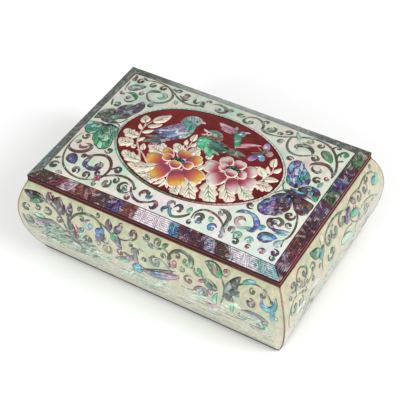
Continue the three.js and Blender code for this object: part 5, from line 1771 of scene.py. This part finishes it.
def bench_copy(name, node, bevel, material):
    """A copy of a CAD piece with merged faces, eased edges and smooth rounds."""
    shape = bmesh.new()
    shape.from_mesh(frame["nodes"][node].data)
    bmesh.ops.remove_doubles(shape, verts=shape.verts, dist=0.004 * MM)
    bmesh.ops.dissolve_limit(shape, angle_limit=math.radians(1), verts=shape.verts, edges=shape.edges)
    keen = [e for e in shape.edges if len(e.link_faces) == 2 and e.calc_face_angle() > math.radians(35)]
    bmesh.ops.bevel(shape, geom=keen, offset=bevel, segments=2, affect="EDGES", clamp_overlap=True)
    mesh = bpy.data.meshes.new(name)
    shape.to_mesh(mesh)
    shape.free()
    mesh.materials.append(material)
    return smooth_piece(name, mesh)


def edge_spaced(low, high, soft, cell):
    """Places along a line, closer together near both ends."""
    near = soft * np.array([0, 0.3, 0.65])
    middle = np.linspace(low + soft, high - soft, max(2, round((high - low - 2 * soft) / cell)))
    return np.concatenate([low + near, middle, high - near[::-1]])


def block_grid(low, high, soft, cell):
    """The surface of a block as a fine closed grid: points and faces."""
    lines = [edge_spaced(low[a], high[a], min(soft, (high[a] - low[a]) * 0.4), cell) for a in range(3)]
    index, points, faces = {}, [], []

    def at(spot):
        key = tuple(spot)
        if key not in index:
            index[key] = len(points)
            points.append([lines[a][key[a]] for a in range(3)])
        return index[key]

    for axis in range(3):
        u, v = (axis + 1) % 3, (axis + 2) % 3
        for level in (0, len(lines[axis]) - 1):
            for i in range(len(lines[u]) - 1):
                for j in range(len(lines[v]) - 1):
                    corners = []
                    for du, dv in ((0, 0), (1, 0), (1, 1), (0, 1)):
                        spot = [level] * 3
                        spot[u], spot[v] = i + du, j + dv
                        corners.append(at(spot))
                    faces.append(tuple(corners if level else corners[::-1]))
    return np.array(points), faces


def rounded(points, low, high, soft):
    """A block's surface points with its edges rounded, in as many directions as low and high have."""
    inner = np.clip(points, low + soft, high - soft)
    away = points - inner
    square = np.max(abs(away), axis=1, keepdims=True)
    return inner + away * square / np.maximum(np.linalg.norm(away, axis=1, keepdims=True), SMALL)


def padded_board(name, node, soft, swell, facing, material, plan_corner=0.0, cell=2.2 * MM):
    """A board under cloth, in a node's place: its edges rounded, and crowned on the side that it faces."""
    low, high = (np.array(corner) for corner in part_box(node))
    points, faces = block_grid(low, high, max(soft, plan_corner), cell)
    facing = np.array(facing, float)
    axis = int(np.argmax(abs(facing)))
    flat = [a for a in range(3) if a != axis]
    if plan_corner:
        points[:, flat] = rounded(points[:, flat], low[flat], high[flat], plan_corner)
    points = rounded(points, low, high, soft)
    share = (points[:, flat] - (low + high)[flat] / 2) / ((high - low)[flat] / 2)
    crown = (1 - share[:, 0] ** 6) * (1 - share[:, 1] ** 6)
    sag = 1 + 0.05 * np.sin(share[:, 0] * 7 + share[:, 1] * 3) * np.sin(share[:, 1] * 6 - share[:, 0] * 2)
    front = np.clip((points - (low + high) / 2) @ facing / ((high - low)[axis] / 2), 0, 1)
    points += facing * (swell * crown * sag * front)[:, None]
    return sharpen(outward(mesh_piece(name, points, faces, material)), 60)


# The screws: points round, depth of the head's cone, half the shank, depth of the slot, and as shares
# of half the head, the slot's half width and half length
SCREW_SIDES = 24
SCREW_HEAD, SCREW_SHANK, SCREW_SLOT = 0.65 * MM, 0.62 * MM, 0.35 * MM
SLOT_WIDE, SLOT_LONG = 0.16, 0.8


def screw_blank(radius, length):
    """A countersunk screw without its slot, with the middle of its top at the origin."""
    profile = [(radius, 0), (radius * 0.985, 0.08 * MM), (SCREW_SHANK, SCREW_HEAD)]
    profile += [(SCREW_SHANK, length * 0.82), (0.1 * MM, length)]
    spin = [FULL_TURN * k / SCREW_SIDES for k in range(SCREW_SIDES)]
    shape = bmesh.new()
    rings = []
    for reach, depth in profile:
        rings.append([shape.verts.new((reach * math.cos(a), reach * math.sin(a), -depth)) for a in spin])
    for here, there in zip(rings, rings[1:]):
        for k in range(SCREW_SIDES):
            nxt = (k + 1) % SCREW_SIDES
            shape.faces.new((here[k], here[nxt], there[nxt], there[k]))
    shape.faces.new(rings[0])
    shape.faces.new(rings[-1])
    return shape


def is_on_top(part):
    """Whether a face or an edge of the screw lies flat on its top."""
    return all(abs(v.co.z) < LEVEL for v in part.verts)


def cut_slot(shape, half_wide, half_long):
    """Sinks a slot into the top of a screw."""
    for normal, reach in (((0, 1, 0), half_wide), ((1, 0, 0), half_long)):
        for sign in (-1, 1):
            parts = [part for part in (*shape.faces, *shape.edges) if is_on_top(part)]
            parts += [v for v in shape.verts if abs(v.co.z) < LEVEL]
            plane = Vector(normal) * sign * reach
            bmesh.ops.bisect_plane(shape, geom=parts, plane_co=plane, plane_no=normal, dist=1e-8)
    slot = []
    for face in shape.faces:
        spot = face.calc_center_median()
        if is_on_top(face) and abs(spot.x) < half_long and abs(spot.y) < half_wide:
            slot.append(face)
    sunk = bmesh.ops.extrude_face_region(shape, geom=slot)["geom"]
    deep = [part for part in sunk if isinstance(part, bmesh.types.BMVert)]
    bmesh.ops.translate(shape, vec=(0, 0, -SCREW_SLOT), verts=deep)
    bmesh.ops.delete(shape, geom=slot, context="FACES_ONLY")


def in_fixed_order(shape):
    """A mesh's points and faces, in an order that is the same in every run."""
    corners = sorted(shape.verts, key=lambda v: tuple(round(value, 7) for value in v.co))
    number = {vertex: k for k, vertex in enumerate(corners)}
    faces = []
    for face in shape.faces:
        loop = [number[v] for v in face.verts]
        first = loop.index(min(loop))
        faces.append(loop[first:] + loop[:first])
    return [tuple(v.co) for v in corners], sorted(faces)


def slotted_screw(name, node, head_up, material):
    """A countersunk screw in a node's place, its slot stopped at an angle of its own."""
    low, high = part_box(node)
    middle, radius = (low + high) / 2, (high.x - low.x) / 2
    shape = screw_blank(radius, high.z - low.z)
    cut_slot(shape, SLOT_WIDE * radius, SLOT_LONG * radius)
    face = Vector((middle.x, middle.y, high.z if head_up else low.z))
    flip = Matrix.Identity(4) if head_up else Matrix.Rotation(math.pi, 4, "X")
    swing = Matrix.Rotation(0.5 + 40 * middle.x, 4, "Z")
    bmesh.ops.transform(shape, matrix=Matrix.Translation(face) @ flip @ swing, verts=shape.verts)
    bmesh.ops.recalc_face_normals(shape, faces=shape.faces)
    points, faces = in_fixed_order(shape)
    shape.free()
    return sharpen(mesh_piece(name, points, faces, material), 30)


def dress_sides(finishes):
    """The shell sheets of the sides, their gardens, the corner lines and the dark line at the foot, which is
    partly painted shade.
    """
    stand_for(foot_line(finishes["lid_edge"]), "case", "lacquered_wood")
    sheets = bowed_sheet_tree(finishes["side_pearl"])
    for name, side in SIDES.items():
        values = {
            "Reach": side["reach"],
            "Half Run": side["run"],
            "End Gap": CORNER_LINE + GLUE_GAP,
            "Turn": side["turn"],
        }
        sheet = grown_by(sheets, f"{name}_shell_sheet", values)
        stand_for(sheet, "case", "side_pearl", f"{name}_veneer")
    for name, (garden, flip) in GARDENS.items():
        stand_for(garden(name, flip).finish(f"{name}_garden", finishes["abalone"]), "case", "abalone")
    for side_name, sign_y in (("front", -1), ("back", 1)):
        for hand, sign_x in (("left", -1), ("right", 1)):
            node = f"{side_name}_{hand}_corner_line"
            bar = corner_line(f"{node}_polished", sign_x, sign_y, finishes["corner"])
            stand_for(bar, "case", "rim_lacquer", node)


def dress_lid(finishes):
    """The lid's board, its shell field and border with their inlays, and the oval picture."""
    wood, shell = finishes["lacquered_wood"], finishes["abalone"]
    board = bench_copy("lid_board_polished", "lid_board", 0.35 * MM, finishes["lid_edge"])
    stand_for(board, "lid", "lacquered_wood", "lid_board")
    stand_for(lid_field(finishes["lid_pearl"]), "lid", "lid_pearl", "lid_veneer")
    ground = oval_ground(finishes["medallion_lacquer"])
    stand_for(ground, "lid", "medallion_lacquer", "medallion_ground")
    stand_for(oval_band(wood), "lid", "lacquered_wood", "medallion_ring")
    stand_for(ring_shells("oval_band_shells_1", ring_shells_tree(shell)), "lid", "abalone")
    frets = fret_tree(shell)
    for name, side in SIDES.items():
        sheet = border_sheet(f"{name}_border_ground", side, wood)
        stand_for(sheet, "lid", "lacquered_wood", f"{name}_border")
        stand_for(key_fret(f"{name}_key_fret", name, frets), "lid", "abalone")
    stand_for(lid_scrolls().finish("lid_scrolls", shell), "lid", "abalone")
    stand_for(oval_flowers().finish("oval_flowers", finishes["picture"]), "lid", "abalone")
    stand_for(oval_birds().finish("oval_birds", shell), "lid", "abalone")


# The way that each lining of the case faces
LININGS = {
    "floor_lining": (0, 0, 1),
    "front_lining": (0, 1, 0),
    "right_lining": (-1, 0, 0),
    "back_lining": (0, -1, 0),
    "left_lining": (1, 0, 0),
}


def dress_inside(velvet):
    """The linings of the case and the pad in the lid."""
    for node, facing in LININGS.items():
        board = padded_board(f"{node}_velvet", node, 0.5 * MM, 0.25 * MM, facing, velvet)
        stand_for(board, "case", "velvet", node)
    soft, swell, facing = 1.1 * MM, 1.0 * MM, (0, 0, -1)
    sizes = {"plan_corner": 6 * MM, "cell": 1.6 * MM}
    pad = padded_board("lid_lining_pad", "lid_lining", soft, swell, facing, velvet, **sizes)
    stand_for(pad, "lid", "velvet", "lid_lining")


def dress_hardware(brass, rim):
    """The rims on the walls, and the hinges with their screws."""
    for name in SIDES:
        eased = bench_copy(f"{name}_rim_polished", f"{name}_rim", 0.2 * MM, rim)
        stand_for(eased, "case", "rim_lacquer", f"{name}_rim")
    for hand in ("left", "right"):
        for part, body in (("case_leaf", "case"), ("lid_leaf", "lid"), ("pin", "case")):
            node = f"{hand}_hinge_{part}"
            stand_for(bench_copy(f"{node}_eased", node, 0.1 * MM, brass), body, "brass", node)
        for number in (1, 2):
            for body, head_up in (("case", True), ("lid", False)):
                node = f"{hand}_hinge_{body}_screw_{number}"
                stand_for(slotted_screw(f"{node}_slotted", node, head_up, brass), body, "brass", node)


# The camera, in millimetres and degrees, as fitted to the photograph
CAMERA_TURN, CAMERA_RISE, CAMERA_ROLL = 34.14, 45.96, -3.94
CAMERA_DISTANCE, CAMERA_ASIDE, CAMERA_UP = 662.85, -0.917, 22.45
LENS = 99.9


def set_camera():
    """The photograph's camera."""
    turn, rise, roll = (math.radians(a) for a in (CAMERA_TURN, CAMERA_RISE, CAMERA_ROLL))
    back = Vector((math.sin(turn) * math.cos(rise), -math.cos(turn) * math.cos(rise), math.sin(rise)))
    right = (-back).cross(Vector((0, 0, 1))).normalized()
    up = right.cross(-back)
    place = (right * CAMERA_ASIDE + up * CAMERA_UP + back * CAMERA_DISTANCE) * MM
    rolled_right = right * math.cos(roll) + up * math.sin(roll)
    rolled_up = up * math.cos(roll) - right * math.sin(roll)
    data = bpy.data.cameras.new("photo_camera")
    data.lens = LENS
    data.clip_start = 0.01
    camera = linked("photo_camera", data)
    axes = Matrix((rolled_right, rolled_up, back)).transposed().to_4x4()
    camera.matrix_world = Matrix.Translation(place) @ axes
    bpy.context.scene.camera = camera


WHITE, FLOOR_WHITE = (1.0, 1.0, 1.0, 1.0), (0.93, 0.93, 0.93, 1.0)
# Strength of the surround: as it lights, as it is mirrored and as the camera sees it
SURROUND_LIGHT, SURROUND_MIRRORED, SURROUND_SEEN = 0.68, 0.3, 1.0
# Lamps: place in metres, size and power in watts
LAMPS = {"right_lamp": ((1.25, 0.1, 0.95), 0.9, 17), "front_lamp": ((-0.2, -1.3, 0.7), 0.9, 12)}
FLOOR_REACH = 3.0


def set_surround():
    """An even white surround."""
    world = bpy.data.worlds.new("studio")
    bpy.context.scene.world = world
    world.use_nodes = True
    tree = Tree(world.node_tree)
    whites = [world.node_tree.nodes["Background"]]
    whites += [tree.add("ShaderNodeBackground") for _ in range(2)]
    for white, strength in zip(whites, (SURROUND_LIGHT, SURROUND_MIRRORED, SURROUND_SEEN)):
        tree.put(white.inputs["Color"], WHITE)
        tree.put(white.inputs["Strength"], strength)
    light, mirrored, seen = (white.outputs[0] for white in whites)
    ray = tree.add("ShaderNodeLightPath").outputs
    around = tree.add("ShaderNodeMixShader", {0: ray["Is Glossy Ray"], 1: light, 2: mirrored})
    mixed = tree.add("ShaderNodeMixShader", {0: ray["Is Camera Ray"], 1: around.outputs[0], 2: seen})
    tree.put(world.node_tree.nodes["World Output"].inputs[0], mixed.outputs[0])


def set_studio():
    """A pale floor, the white surround and two soft lamps."""
    bpy.context.scene.view_settings.view_transform = "Standard"
    set_surround()
    for name, (place, size, power) in LAMPS.items():
        data = bpy.data.lights.new(name, "AREA")
        data.shape = "DISK"
        data.size = size
        data.energy = power
        lamp = linked(name, data)
        lamp.location = place
        lamp.rotation_euler = (-Vector(place)).to_track_quat("-Z", "Y").to_euler()
    finish = Finish("pale_floor", {"Roughness": 0.85, "Specular IOR Level": 0.1})
    finish.paint(FLOOR_WHITE)
    corners = [(x * FLOOR_REACH, y * FLOOR_REACH, 0) for x, y in CORNERS]
    mesh_piece("floor", corners, [(0, 1, 2, 3)], finish.material, False)


def main():
    set_camera()
    set_studio()
    finishes = {
        "lacquered_wood": lacquer_finish("maroon_lacquer", "1c0a0d", "3a171b"),
        "rim_lacquer": lacquer_finish("rim_lacquer", "3a0b0e", "641618"),
        "lid_edge": lid_edge_finish(),
        "corner": corner_finish(),
        "medallion_lacquer": lacquer_finish("burgundy_lacquer", "54100f", "761a1c"),
        "lid_pearl": lid_pearl_finish(),
        "side_pearl": side_pearl_finish(),
        "abalone": abalone_finish(),
        "picture": painted_shell_finish(),
        "velvet": velvet_finish(),
        "felt": felt_finish(),
        "brass": brass_finish(),
    }
    for row in frame["record"]["subparts"]:
        for place in frame["nodes"][row["node"]].material_slots:
            place.material = finishes[row["material_slot"]]
    dress_sides(finishes)
    dress_lid(finishes)
    dress_inside(finishes["velvet"])
    dress_hardware(finishes["brass"], finishes["rim_lacquer"])


main()
